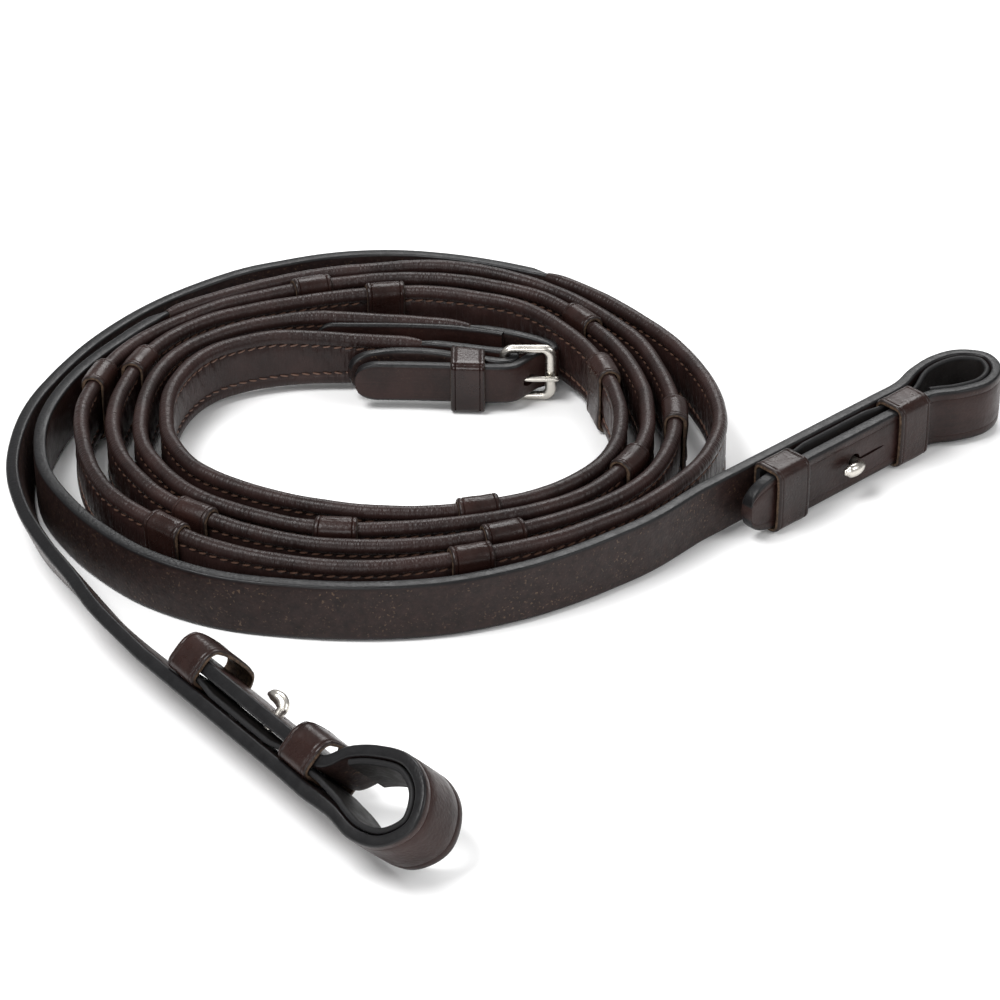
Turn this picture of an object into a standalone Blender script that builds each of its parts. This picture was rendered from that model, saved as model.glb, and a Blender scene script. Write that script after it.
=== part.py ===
"""Leather bridle reins, buckled together at the centre and coiled on a flat surface.

Two straps stand on their long edges and wind round each other as a flat coil.  The right
rein carries the centre buckle, and the left rein carries the billet that goes through it.
Each rein has a soft leather cover over its hand part with seven leather hand stops, then a
plain stretch, and ends in a bit loop closed by a hook stud and two keepers.

Units are metres, +Z is up, and the origin is on the floor below the middle of the coil.
"""
import math

import bmesh
import bpy
import numpy as np
from mathutils import Matrix, Vector

MM = 0.001

# Straps
PLAIN_WIDTH = 17.5 * MM
PLAIN_THICKNESS = 3.8 * MM
BIT_END_WIDTH = 17.6 * MM
LOOP_THICKNESS = 3.2 * MM
BUCKLE_END_WIDTH = 12.6 * MM
BUCKLE_END_THICKNESS = 3.1 * MM
GAP = 0.3 * MM

# Soft cover over the hand part, and the strap that runs inside it
COVER_WIDTH = 19.4 * MM
COVER_THICKNESS = 4.1 * MM
COVER_WALL = 0.8 * MM
COVER_GAP = 0.25 * MM
COVER_END_WIDTH = BUCKLE_END_WIDTH + 2 * (COVER_WALL + COVER_GAP)

# Hand stops
STOP_LENGTH = 12.0 * MM
STOP_WIDTH = 22.4 * MM
STOP_THICKNESS = 7.9 * MM

# Spacing of the sections along a strap
STATION_SPACING = 13.0 * MM
STATION_TURN = math.radians(18)

# Heights of the straps' centre lines above the floor
COVER_HEIGHT = STOP_WIDTH / 2
BUCKLE_HEIGHT = 9.5 * MM

# Bit ends, from the far face inward: the strap, the keepers' sewn-in walls, the lining, and
# the folded-back strap
KEEPER_WALL = 1.2 * MM
KEEPER_OFFSET = PLAIN_THICKNESS + GAP
LINING_THICKNESS = 1.6 * MM
LOOP_LINING_THICKNESS = 1.8 * MM
LINING_OFFSET = KEEPER_OFFSET + KEEPER_WALL + GAP
LINING_FACE = LINING_OFFSET + LINING_THICKNESS
KEEPER_WIDTH = BIT_END_WIDTH + 2 * (GAP + KEEPER_WALL)

STUD_HOLE = 1.75 * MM
RETURN_HOLE = 2.4 * MM
RETURN_CUT = 6.0 * MM
SLIT_REACH = 13.0 * MM
SLIT_WIDTH = 0.9 * MM

# The hook stud above its foot: (along, above the folded-back strap, radius, flattening) in
# millimetres, and which way the stud runs there as (along, inward)
STUD_FOOT_RADIUS = 3.4
STUD_FOOT_THICKNESS = 1.1
STUD_POST_RADIUS = 1.4
STUD_HEAD = [
    ((0, 0.8, 1.4, 1), (0, 1)), ((-0.4, 2, 1.5, 1), (-0.4, 0.9)),
    ((-1.5, 3, 1.7, 0.85), (-0.8, 0.6)), ((-3.4, 3.4, 2.1, 0.65), (-1, 0.1)),
    ((-5.4, 3.2, 1.9, 0.6), (-1, -0.15)), ((-6.6, 2.8, 1.0, 0.6), (-1, -0.3))]

# Centre buckle
BAR_RADIUS = 1.3 * MM
FRAME_WIDTH = 14.3 * MM
FRAME_HEIGHT = 18.9 * MM
FRAME_CORNER = 2.6 * MM
TONGUE_RADIUS = 0.9 * MM
TONGUE_CLEARANCE = 0.25 * MM
TONGUE_HEIGHT = 8.5 * MM
TONGUE_TAPER = [(3, 1), (7, 1), (11, 1), (14, 0.95), (16, 0.85), (17, 0.5)]
CENTRE_KEEPER_HEIGHT = 8.8 * MM
CENTRE_KEEPER_WIDTH = 17.3 * MM
CENTRE_KEEPER_ENDS = [(-15.0, 50.4, 61.5), (-4.6, 49.9, 59.2)]
BACKING_THICKNESS = 2.2 * MM
BACKING_WIDTH = 15.0 * MM

# Colours
BROWN = (0.045, 0.026, 0.021)
STEEL = (0.72, 0.70, 0.66)

# The routes below are in millimetres from the coil's plan origin; CENTRE is the middle of
# the coil's footprint there, and becomes the part's origin.
CENTRE = (4.2, -31.4)
HINGE_BAR = (1.2, 58.6)

# Right rein: folded buckle chape, from its tip to the hinge bar
CHAPE_ROUTE = [
    (-46, 58), (-40, 60), (-32, 61.9), (-22, 61.4), (-14, 59.3), (-5, 56.8), (-1, 55.6)]
# Right rein: from the hinge bar outward through the coil, up to its bit end
RIGHT_ROUTE = [
    (-2, 62.2), (-12, 64.6), (-24, 66.8), (-44, 66), (-62, 65), (-76, 61.5), (-87, 55), (-94, 45),
    (-98, 31), (-98, 16), (-95, 1), (-85, -15), (-65, -28), (-42, -35.5), (-20, -36.8), (-2, -33),
    (13, -26.5), (25, -16), (32.5, -3), (35.4, 14), (34.2, 30), (29.2, 50), (21.6, 65.6), (8, 82),
    (-8, 89.3), (-24, 92.8), (-40, 91.5), (-58, 87.5), (-78, 80.5), (-92, 72.5), (-102.5, 61),
    (-109, 47), (-113, 29), (-113.5, 12), (-110, -4), (-104, -16.5), (-96, -28), (-85, -37.5),
    (-70, -46.5), (-53, -52.7), (-35, -54.4), (-17, -52.6), (1, -47.5), (18, -39.5), (33, -29),
    (43.5, -15.5), (49.5, 1), (51.5, 18), (49.6, 36), (44, 57), (36.3, 71), (24.3, 86),
    (9.5, 98.6), (-8, 107.2), (-24, 109.7), (-42, 107.2), (-60, 103), (-82, 92.6), (-103.5, 77.5),
    (-117, 60.5), (-127, 43.5), (-133, 25.5), (-134.4, 8.5), (-131, -10.5), (-122, -28),
    (-111, -42.5), (-97, -55.5), (-78, -65.5), (-56, -70.3), (-34, -71.7), (-14, -69.5),
    (4, -63.5), (18, -56.3), (31, -47.5), (43, -38)]
# Left rein: billet from its tip, through the buckle, outward through the coil to its bit end
LEFT_ROUTE = [
    (-44, 53.6), (-30, 53.3), (-14, 52.5), (-2, 51.8), (3.6, 52.4), (7.2, 56), (10.4, 60),
    (13.6, 62), (16.4, 63.5), (15.2, 66.4), (10, 70), (0, 74.4), (-12, 77.3), (-28, 77.6),
    (-46, 76.6), (-62, 75.3), (-77, 70.6), (-90, 62.2), (-98.5, 52), (-103.6, 38), (-105.5, 22),
    (-105, 8), (-101.5, -5), (-91, -22.5), (-77, -34), (-58, -42.8), (-42, -45.5), (-24, -44.5),
    (-6, -41), (10, -35.5), (25, -26), (37.2, -9.4), (42.5, 6), (43.4, 20), (42.2, 35), (36.3, 55.5),
    (25.2, 75), (13, 89), (-2, 96.5), (-18, 101), (-38, 101), (-59, 96), (-73, 90.5), (-87, 83.5),
    (-99, 73.6), (-110, 61.5), (-118, 46), (-123, 24), (-121.8, 5.6), (-117, -13), (-109, -28.5),
    (-93, -44.5), (-76, -56), (-55, -63), (-34, -64.8), (-9, -59.5), (13, -51.5), (28, -42.3),
    (42, -31), (56, -13), (63.2, 5), (64.5, 20), (61.8, 37), (54, 57.5), (41.6, 76.5), (28.4, 91.5),
    (15, 102.5), (0, 110.5), (-16, 116.5), (-33, 120), (-50, 119.8), (-66, 116), (-84, 108),
    (-106, 89.5), (-122.3, 67.5), (-133.2, 44.5), (-138.4, 26), (-139.8, 7), (-138, -12),
    (-132, -31), (-123.5, -47.5), (-114.5, -62), (-105.8, -77)]

# Teardrop followed by a bit loop, as fractions of the loop's length and width
LOOP_SHAPE = [
    (0.3, 0.04), (0.6, 0.0), (0.86, 0.13), (1.0, 0.48), (0.88, 0.85), (0.62, 1.0),
    (0.34, 0.88), (0.12, 0.68)]

# Places of the hand stops along each rein, and of the ends of its soft cover
RIGHT_STOPS = [(-2, -33), (30, 43), (-36, 92.6), (-109, 48), (-85, -37), (1, -47.5), (51.5, 18)]
LEFT_STOPS = [(-42, -45), (37.2, -9.4), (25, 75), (-59, 96), (-121, 40), (-93, -45), (-8, -59)]
RIGHT_COVER_ENDS = [(-24, 67), (-103, 78)]
LEFT_COVER_ENDS = [(-9, 77), (15, 102.5)]


# ---------------------------------------------------------------- routes and sections

def smooth_line(points, step=0.5 * MM):
    """Points about `step` apart on a smooth curve through the given ones."""
    points = np.asarray(points, float)
    padded = np.vstack([2 * points[0] - points[1], points, 2 * points[-1] - points[-2]])
    line = []
    for p0, p1, p2, p3 in zip(padded, padded[1:], padded[2:], padded[3:]):
        count = max(2, int(np.linalg.norm(p2 - p1) / step))
        t = (np.arange(count) / count)[:, None]
        line.append(0.5 * (2 * p1 + (p2 - p0) * t + (2 * p0 - 5 * p1 + 4 * p2 - p3) * t ** 2
                           + (3 * p1 - p0 - 3 * p2 + p3) * t ** 3))
    line.append(points[-1:])
    return np.vstack(line)


class Route:
    """A strap's centre line, read by the distance along it."""

    def __init__(self, line):
        self.line = np.asarray(line, float)
        steps = np.linalg.norm(np.diff(self.line, axis=0), axis=1)
        self.distances = np.concatenate([[0.0], np.cumsum(steps)])
        self.length = self.distances[-1]

    def at(self, distance):
        """The point at a distance along the line."""
        return np.array([np.interp(distance, self.distances, column) for column in self.line.T])

    def direction(self, distance, reach=1.5 * MM):
        """The unit direction of travel at a distance along the line."""
        way = self.at(min(distance + reach, self.length)) - self.at(max(distance - reach, 0.0))
        return way / np.linalg.norm(way)

    def marks(self, start, finish):
        """Distances for a strap's sections: far apart on straights, close together in turns."""
        found = [start]
        for distance in np.arange(start, finish, 0.5 * MM):
            bend = np.dot(self.direction(distance), self.direction(found[-1]))
            if distance - found[-1] > STATION_SPACING or bend < math.cos(STATION_TURN):
                found.append(float(distance))
        if finish - found[-1] < 3 * MM and len(found) > 1:
            found.pop()
        return found + [finish]

    def nearest(self, point, low=0.0, high=1.0):
        """The distance along the line nearest to a point, between two shares of its length."""
        inside = (self.distances >= low * self.length) & (self.distances <= high * self.length)
        offsets = np.linalg.norm(self.line - np.asarray(point, float), axis=1)
        offsets[~inside] = np.inf
        return self.distances[int(np.argmin(offsets))]


def in_plan(points):
    """Route points in metres from the part's origin."""
    return (np.asarray(points, float) - np.asarray(CENTRE)) * MM


def strap_corners(width, thickness, cut=None):
    """A strap's section as (across, up) pairs: a rectangle with its corners cut off."""
    cut = 0.3 * min(thickness, width) if cut is None else cut
    across, up = thickness / 2, width / 2
    return [(across, up - cut), (across - cut, up), (cut - across, up), (-across, up - cut),
            (-across, cut - up), (cut - across, -up), (across - cut, -up), (across, cut - up)]


def strap_ring(route, distance, height, lean, width, thickness, offset=0.0):
    """A strap's section at a distance along its route; lean tips the top to the right."""
    direction = route.direction(distance)
    level = np.array([direction[1], -direction[0], 0.0])
    across = level * math.cos(lean) - np.array([0.0, 0.0, math.sin(lean)])
    upward = level * math.sin(lean) + np.array([0.0, 0.0, math.cos(lean)])
    middle = np.append(route.at(distance)[:2], height) + across * offset
    return [middle + across * a + upward * u for a, u in strap_corners(width, thickness)]


def values_along(stops):
    """A function of distance that runs straight from one (distance, value) pair to the next."""
    distances, values = zip(*stops)
    return lambda distance: float(np.interp(distance, distances, values))


def tip_share(from_end, reach):
    """How much of a strap's width is left near its rounded tip."""
    if from_end >= reach:
        return 1.0
    return 0.3 + 0.7 * math.sqrt(1.0 - (1.0 - max(from_end, 0.0) / reach) ** 2)


# ---------------------------------------------------------------- meshes and objects

def collection_named(name):
    """A new collection in the scene."""
    group = bpy.data.collections.new(name)
    bpy.context.scene.collection.children.link(group)
    return group


def material(name, colour, roughness, metallic=0.0):
    """A plain surface with its own colour."""
    surface = bpy.data.materials.new(name)
    surface.use_nodes = True
    shader = surface.node_tree.nodes["Principled BSDF"]
    shader.inputs["Base Color"].default_value = (*colour, 1.0)
    shader.inputs["Roughness"].default_value = roughness
    shader.inputs["Metallic"].default_value = metallic
    surface.diffuse_color = (*colour, 1.0)
    return surface


def add_object(name, mesh_builder, colour, roughness=0.5, metallic=0.0, group=None):
    """One named object from a finished bmesh, with its own material."""
    bmesh.ops.recalc_face_normals(mesh_builder, faces=mesh_builder.faces)
    mesh = bpy.data.meshes.new(name)
    mesh_builder.to_mesh(mesh)
    mesh_builder.free()
    mesh.materials.append(material(name, colour, roughness, metallic))
    mesh.shade_smooth()
    mesh.set_sharp_from_angle(angle=math.radians(40))
    thing = bpy.data.objects.new(name, mesh)
    (group or PARTS).objects.link(thing)
    return thing


def skin(builder, rings, closed=False):
    """Join rings of matching points with quads, and return the rings' vertices."""
    rows = [[builder.verts.new(Vector(point)) for point in ring] for ring in rings]
    pairs = list(zip(rows, rows[1:]))
    if closed:
        pairs.append((rows[-1], rows[0]))
    for row, following in pairs:
        for i in range(len(row)):
            j = (i + 1) % len(row)
            builder.faces.new((row[i], row[j], following[j], following[i]))
    return rows


def loft(rings):
    """A closed solid through a run of rings."""
    builder = bmesh.new()
    rows = skin(builder, rings)
    builder.faces.new(rows[0])
    builder.faces.new(rows[-1])
    return builder


def loft_ring(rings):
    """A closed loop through a run of rings whose last one joins the first."""
    builder = bmesh.new()
    skin(builder, rings, closed=True)
    return builder


def loft_tube(outer, inner):
    """A tube between two skins, open at both ends."""
    builder = bmesh.new()
    outside = skin(builder, outer)
    inside = skin(builder, inner)
    for edge, lip in ((outside[0], inside[0]), (outside[-1], inside[-1])):
        for i in range(len(edge)):
            j = (i + 1) % len(edge)
            builder.faces.new((edge[i], edge[j], lip[j], lip[i]))
    return builder


def round_ring(centre, side, upward, radius, sides=8, flatten=1.0):
    """An ellipse of points about a centre, `flatten` times as tall as it is wide."""
    angles = [2 * math.pi * (i + 0.5) / sides for i in range(sides)]
    return [centre + side * radius * math.cos(a) + upward * radius * flatten * math.sin(a)
            for a in angles]


def cut(thing, cutter):
    """Take the cutter's shape out of an object."""
    cutter.hide_render = True
    cutter.display_type = "WIRE"
    hole = thing.modifiers.new(cutter.name, "BOOLEAN")
    hole.operation = "DIFFERENCE"
    hole.solver = "EXACT"
    hole.object = cutter


def peg_cutter(name, centre, along, upward, length, half_side, half_up):
    """A round-ended peg to cut a hole with, lying along a direction."""
    builder = bmesh.new()
    bmesh.ops.create_cone(builder, cap_ends=True, segments=12, radius1=1.0, radius2=1.0, depth=1.0)
    side = Vector(upward).cross(Vector(along))
    turn = Matrix((side * half_side, Vector(upward) * half_up, Vector(along) * length)).transposed()
    bmesh.ops.transform(builder, matrix=Matrix.Translation(Vector(centre)) @ turn.to_4x4(),
                        verts=builder.verts)
    return add_object(name, builder, STEEL, group=CUTTERS)


# ---------------------------------------------------------------- bit ends

class BitEnd:
    """The straight, doubled end of a rein and the loop that holds the bit ring."""

    def __init__(self, side, origin, heading, lean, slit, loop, keepers, stud, tip):
        self.side = side
        self.lean = math.radians(lean)
        self.return_offset = LINING_FACE + slit
        self.depth = self.return_offset + PLAIN_THICKNESS
        self.loop = loop
        self.keepers, self.keeper_length, self.keeper_slack = keepers
        self.stud, self.tip = stud, tip
        heading = math.radians(heading)
        self.along = np.array([math.cos(heading), math.sin(heading), 0.0])
        level = np.array([self.along[1], -self.along[0], 0.0])
        up = np.array([0.0, 0.0, 1.0])
        # the two loops turn to opposite sides of their straps
        self.turn = 1.0 if side == "right" else -1.0
        self.inward = self.turn * level * math.cos(self.lean) + up * math.sin(self.lean)
        self.upward = up * math.cos(self.lean) - self.turn * level * math.sin(self.lean)
        rise = max(KEEPER_WIDTH / 2 * math.cos(self.lean) - KEEPER_OFFSET * math.sin(self.lean),
                   BIT_END_WIDTH / 2 * math.cos(self.lean) + 0.6 * MM * math.sin(self.lean))
        self.base = np.append(in_plan([origin])[0], rise)
        self.flat = Route(self.flat_line())

    def point(self, along, inward, upward=0.0):
        """A place measured from the loop's throat, on the strap's far face."""
        return self.base + self.along * along + self.inward * inward + self.upward * upward

    def flat_line(self):
        """The strap's centre line, past the stud, round the loop and back to its tip."""
        length, width, start = self.loop
        far, near = PLAIN_THICKNESS / 2, self.return_offset + PLAIN_THICKNESS / 2
        spots = [(self.tip - 6 * MM, far), (-55 * MM, far), (-30 * MM, far), (-12 * MM, far)]
        spots += [(0.0, far - 0.2 * MM)]
        spots += [(share_along * length, start + share_in * width)
                  for share_along, share_in in LOOP_SHAPE]
        self.throat = spots[-1]
        spots += [(-2 * MM, near), (-14 * MM, near), (-30 * MM, near), (-55 * MM, near)]
        return smooth_line(spots + [(self.tip, near)])

    def distance(self, along, returning=False):
        """How far along the flat line the strap reaches a place on its way out or back."""
        half = (0.5, 1.0) if returning else (0.0, 0.5)
        depth = self.return_offset + PLAIN_THICKNESS / 2 if returning else PLAIN_THICKNESS / 2
        return self.flat.nearest((along, depth), *half)

    def ring(self, distance, width, thickness, offset=0.0):
        """A strap's section at a distance along the flat line, moved towards the inside."""
        way = self.flat.direction(distance)
        across = self.turn * (self.inward * way[0] - self.along * way[1])
        spot = self.flat.at(distance)
        middle = self.point(spot[0], spot[1]) + across * offset * self.turn
        return [middle + across * a + self.upward * u for a, u in strap_corners(width, thickness)]

    def loop_share(self, distance):
        """0 in the straight stack, 1 round the loop."""
        start, finish = self.distance(1 * MM), self.distance(-6 * MM, returning=True)
        return values_along([(start, 0), (start + 12 * MM, 1), (finish - 9 * MM, 1),
                             (finish, 0)])(distance)

    def strap_thickness(self, distance):
        """The strap is thinned where it turns round the loop."""
        return PLAIN_THICKNESS + (LOOP_THICKNESS - PLAIN_THICKNESS) * self.loop_share(distance)

    def strap_rings(self):
        """The strap from the coil's end, round the loop and back to its pointed tip."""
        rings = []
        length = self.flat.length
        tip = [length - back * MM for back in (12, 8, 4, 1.5)]
        stations = self.flat.marks(0.0, length - 16 * MM) + tip + [length]
        for distance in stations[1:]:
            width = BIT_END_WIDTH * tip_share(length - distance, 12 * MM)
            rings.append(self.ring(distance, width, self.strap_thickness(distance)))
        return rings

    def cut_stud_holes(self, strap, lining):
        """A round hole through the lining, and a slit hole in the folded-back strap."""
        middle = self.point(self.stud, LINING_OFFSET + LINING_THICKNESS / 2)
        cut(lining, peg_cutter(f"{self.side}_post_hole", middle, self.inward, self.upward,
                               4 * MM, STUD_HOLE, STUD_HOLE))
        outer = self.point(self.stud, self.return_offset + PLAIN_THICKNESS / 2)
        cut(strap, peg_cutter(f"{self.side}_return_hole", outer, self.inward, self.upward,
                              RETURN_CUT, RETURN_HOLE, RETURN_HOLE))
        cut(strap, peg_cutter(f"{self.side}_return_slit", outer + self.along * SLIT_REACH / 2,
                              self.inward, self.upward, RETURN_CUT + 0.5 * MM, SLIT_REACH / 2,
                              SLIT_WIDTH / 2))

    def build_lining(self):
        """The lining inside the loop, running back along the stack."""
        start = self.distance(self.tip + 9 * MM)
        finish = self.flat.nearest(self.throat)
        rings = []
        bend = self.distance(0.0)
        for distance in self.flat.marks(start, bend) + self.flat.marks(bend, finish)[1:]:
            share = self.loop_share(distance)
            thickness = LINING_THICKNESS + (LOOP_LINING_THICKNESS - LINING_THICKNESS) * share
            gap = GAP + (LINING_OFFSET - PLAIN_THICKNESS - GAP) * (1 - share)
            offset = self.strap_thickness(distance) / 2 + gap + thickness / 2
            rings.append(self.ring(distance, BIT_END_WIDTH - 0.4 * MM, thickness, offset))
        return add_object(f"{self.side}_bit_loop_lining", loft(rings), BROWN, 0.7)

    def build_keeper(self, name, along):
        """A leather loop round the folded-back strap, sewn in between strap and lining."""
        near = self.depth + GAP + self.keeper_slack
        depth = near - KEEPER_OFFSET
        outer, inner = [], []
        for place in (along, along + self.keeper_length):
            for rings, wall, cut_size in ((outer, 0.0, 1.5 * MM), (inner, KEEPER_WALL, 0.4 * MM)):
                middle = self.point(place, (near + KEEPER_OFFSET + KEEPER_WALL) / 2)
                corners = strap_corners(KEEPER_WIDTH - 2 * wall, depth + KEEPER_WALL - 2 * wall,
                                        cut_size)
                rings.append([middle + self.inward * a + self.upward * u for a, u in corners])
        return add_object(f"{self.side}_bit_keeper_{name}", loft_tube(outer, inner), BROWN, 0.45)

    def build_stud(self):
        """The hook stud: a foot sewn in under the lining, a post and a head bent to the tip."""
        foot = KEEPER_OFFSET / MM
        foot_top = foot + STUD_FOOT_THICKNESS
        top = self.depth / MM
        straight = (0, 1)
        spots = [((0, foot, STUD_FOOT_RADIUS, 1), straight),
                 ((0, foot_top, STUD_FOOT_RADIUS, 1), straight),
                 ((0, foot_top + 0.05, STUD_POST_RADIUS, 1), straight)]
        spots += [((along, top + above, radius, flatten), way)
                  for (along, above, radius, flatten), way in STUD_HEAD]
        rings = []
        for (along, inward, radius, flatten), (way_along, way_in) in spots:
            across = self.along * way_in - self.inward * way_along
            across = across / np.linalg.norm(across)
            centre = self.point(self.stud + along * MM, inward * MM)
            rings.append(round_ring(centre, self.upward, across, radius * MM, 10, flatten))
        return add_object(f"{self.side}_hook_stud", loft(rings), STEEL, 0.25, 1.0)


# ---------------------------------------------------------------- reins

class Rein:
    """One rein: its route, its width, thickness, height and lean, and where its cover lies."""

    def __init__(self, end, route, stops, cover_ends, cover_share):
        self.end = end
        self.route = route
        low, high = cover_share
        self.cover_start = route.nearest(in_plan([cover_ends[0]])[0], low, 0.5)
        self.cover_end = route.nearest(in_plan([cover_ends[1]])[0], 0.5, high)
        self.stops = self.find_stops(in_plan(stops))
        length, start, finish = route.length, self.cover_start, self.cover_end
        core_thickness = COVER_THICKNESS - 2 * (COVER_WALL + COVER_GAP)
        core_width = COVER_WIDTH - 2 * (COVER_WALL + COVER_GAP)
        self.cover_width = values_along([(start, COVER_END_WIDTH), (start + 45 * MM, COVER_WIDTH)])
        self.width = values_along([
            (start, BUCKLE_END_WIDTH), (start + 45 * MM, core_width), (finish, core_width),
            (finish + 5 * MM, PLAIN_WIDTH), (length - 60 * MM, PLAIN_WIDTH),
            (length, BIT_END_WIDTH)])
        self.thickness = values_along([
            (start - 5 * MM, BUCKLE_END_THICKNESS), (start - 1 * MM, core_thickness),
            (finish + 1 * MM, core_thickness), (finish + 6 * MM, PLAIN_THICKNESS)])
        end_lift = end.point(0, PLAIN_THICKNESS / 2)[2] - self.half_rise(BIT_END_WIDTH, end.lean)
        self.lift = values_along([
            (start - 10 * MM, BUCKLE_HEIGHT - BUCKLE_END_WIDTH / 2),
            (start + 70 * MM, COVER_HEIGHT - core_width / 2), (finish, COVER_HEIGHT - core_width / 2),
            (finish + 90 * MM, 0.0), (length - 150 * MM, 0.0), (length, end_lift)])
        self.lean = values_along([(length - 150 * MM, 0.0), (length, end.lean)])

    @staticmethod
    def half_rise(width, lean):
        """How far a leaning strap's centre stands above its lowest corner."""
        return width / 2 * math.cos(lean) + PLAIN_THICKNESS / 2 * math.sin(lean)

    def height(self, distance):
        """How high the strap's centre line is: its own half width, and its lift."""
        return self.half_rise(self.width(distance), self.lean(distance)) + self.lift(distance)

    def find_stops(self, spots):
        """Distances of the hand stops, each found further along than the last one."""
        found = []
        low = self.cover_start / self.route.length
        for spot in spots:
            high = min(low + 0.16, 1.0)
            found.append(self.route.nearest(spot, low, high))
            low = (found[-1] + 60 * MM) / self.route.length
        return found

    def cover_stations(self):
        """Sections of the cover: three at each stop, and evenly between the stops."""
        half = STOP_LENGTH / 2
        marks = [self.cover_start]
        for stop in self.stops:
            spaces = max(1, math.ceil((stop - half - marks[-1]) / STATION_SPACING))
            marks += list(np.linspace(marks[-1], stop - half, spaces + 1))[1:]
            marks += [stop, stop + half]
        spaces = max(1, round((self.cover_end - marks[-1]) / STATION_SPACING))
        return marks + list(np.linspace(marks[-1], self.cover_end, spaces + 1))[1:]

    def ring(self, distance, width, thickness, offset=0.0):
        """A section at a distance, at the rein's own height and lean there."""
        return strap_ring(self.route, distance, self.height(distance), self.lean(distance),
                          width, thickness, offset)

    def buckle_stations(self):
        """Sections from the buckle-end tip to the cover."""
        tip = [0.0, 1 * MM, 3 * MM]
        return tip + self.route.marks(6 * MM, self.cover_start - 9 * MM)

    def build_strap(self):
        """The whole strap, from its rounded buckle-end tip to its pointed bit-end tip."""
        after = self.cover_end + np.array([1, 6]) * MM
        plain = self.route.marks(after[-1], self.route.length)[1:]
        near_cover = [self.cover_start - 5 * MM, self.cover_start - 1 * MM]
        stations = self.buckle_stations() + near_cover + self.cover_stations() + list(after) + plain
        rings = [self.ring(d, self.width(d) * tip_share(d, 7 * MM), self.thickness(d))
                 for d in stations]
        rings += self.end.strap_rings()
        return add_object(f"{self.end.side}_rein_strap", loft(rings), BROWN, 0.5)

    def build_cover(self):
        """The soft cover: a flat tube round the strap, open at both ends."""
        outer, inner = [], []
        for d in self.cover_stations():
            width = self.cover_width(d)
            outer.append(self.ring(d, width, COVER_THICKNESS))
            inner.append(self.ring(d, width - 2 * COVER_WALL, COVER_THICKNESS - 2 * COVER_WALL))
        return add_object(f"{self.end.side}_soft_cover", loft_tube(outer, inner), BROWN, 0.6)

    def build_stops(self):
        """Short leather loops round the covered strap."""
        for number, middle in enumerate(self.stops, start=1):
            outer, inner = [], []
            for d in np.linspace(middle - STOP_LENGTH / 2, middle + STOP_LENGTH / 2, 5):
                outer.append(self.ring(d, STOP_WIDTH, STOP_THICKNESS))
                inner.append(self.ring(d, COVER_WIDTH + 2 * GAP, COVER_THICKNESS + 2 * GAP))
            add_object(f"{self.end.side}_hand_stop_{number}", loft_tube(outer, inner), BROWN, 0.45)


def cut_tongue_slot(strap, bar):
    """The slot in the hinge fold that the tongue's wrap turns in."""
    centre = np.array([bar[0] + 1.5 * MM, bar[1], TONGUE_HEIGHT])
    cut(strap, peg_cutter("tongue_slot", centre, (0, 1, 0), (0, 0, 1), 13 * MM, 5.2 * MM,
                          TONGUE_RADIUS + 1.2 * MM))


def cut_billet_hole(strap, bar):
    """The billet's hole, long enough for the tongue to lift a little."""
    centre = np.array([bar[0] + 6.9 * MM, bar[1] - 3.1 * MM, TONGUE_HEIGHT])
    cut(strap, peg_cutter("billet_hole", centre, (1, 0, 0), (0, 0, 1), 9 * MM, 2.2 * MM,
                          TONGUE_RADIUS + 0.8 * MM))


def right_rein(end):
    """The right rein's route: folded chape, round the hinge bar and out through the coil."""
    bar = in_plan([HINGE_BAR])[0]
    fold = BAR_RADIUS + GAP + BUCKLE_END_THICKNESS / 2
    fold_line = [bar + fold * np.array([math.cos(a), math.sin(a)])
                 for a in np.radians(range(-90, 91, 30))]
    into_end = [end.point(end.tip - back * MM, PLAIN_THICKNESS / 2)[:2] for back in (12, 6)]
    line = np.vstack([in_plan(CHAPE_ROUTE), fold_line, in_plan(RIGHT_ROUTE), into_end])
    return Rein(end, Route(smooth_line(line)), RIGHT_STOPS, RIGHT_COVER_ENDS, (0.05, 0.85))


def left_rein(end):
    """The left rein's route: billet, through the buckle and out through the coil."""
    into_end = [end.point(end.tip - back * MM, PLAIN_THICKNESS / 2)[:2] for back in (12, 6)]
    line = np.vstack([in_plan(LEFT_ROUTE), into_end])
    return Rein(end, Route(smooth_line(line)), LEFT_STOPS, LEFT_COVER_ENDS, (0.05, 0.85))


# ---------------------------------------------------------------- centre buckle

def build_frame(bar):
    """The buckle's wire frame, an upright rounded rectangle; its left bar is the hinge."""
    half_height = FRAME_HEIGHT / 2 - BAR_RADIUS
    corners = [(FRAME_WIDTH - FRAME_CORNER, half_height - FRAME_CORNER, 0),
               (FRAME_CORNER, half_height - FRAME_CORNER, 90),
               (FRAME_CORNER, FRAME_CORNER - half_height, 180),
               (FRAME_WIDTH - FRAME_CORNER, FRAME_CORNER - half_height, 270)]
    rings = []
    for x, z, first in corners:
        for angle in np.radians(range(first, first + 91, 30)):
            outward = np.array([math.cos(angle), 0.0, math.sin(angle)])
            middle = np.array([x, 0.0, z]) + FRAME_CORNER * outward
            rings.append(round_ring(middle, outward, np.array([0.0, 1.0, 0.0]), BAR_RADIUS, 10))
    frame = add_object("buckle_frame", loft_ring(rings), STEEL, 0.25, 1.0)
    frame.location = (bar[0], bar[1], BUCKLE_HEIGHT)
    return frame


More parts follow.
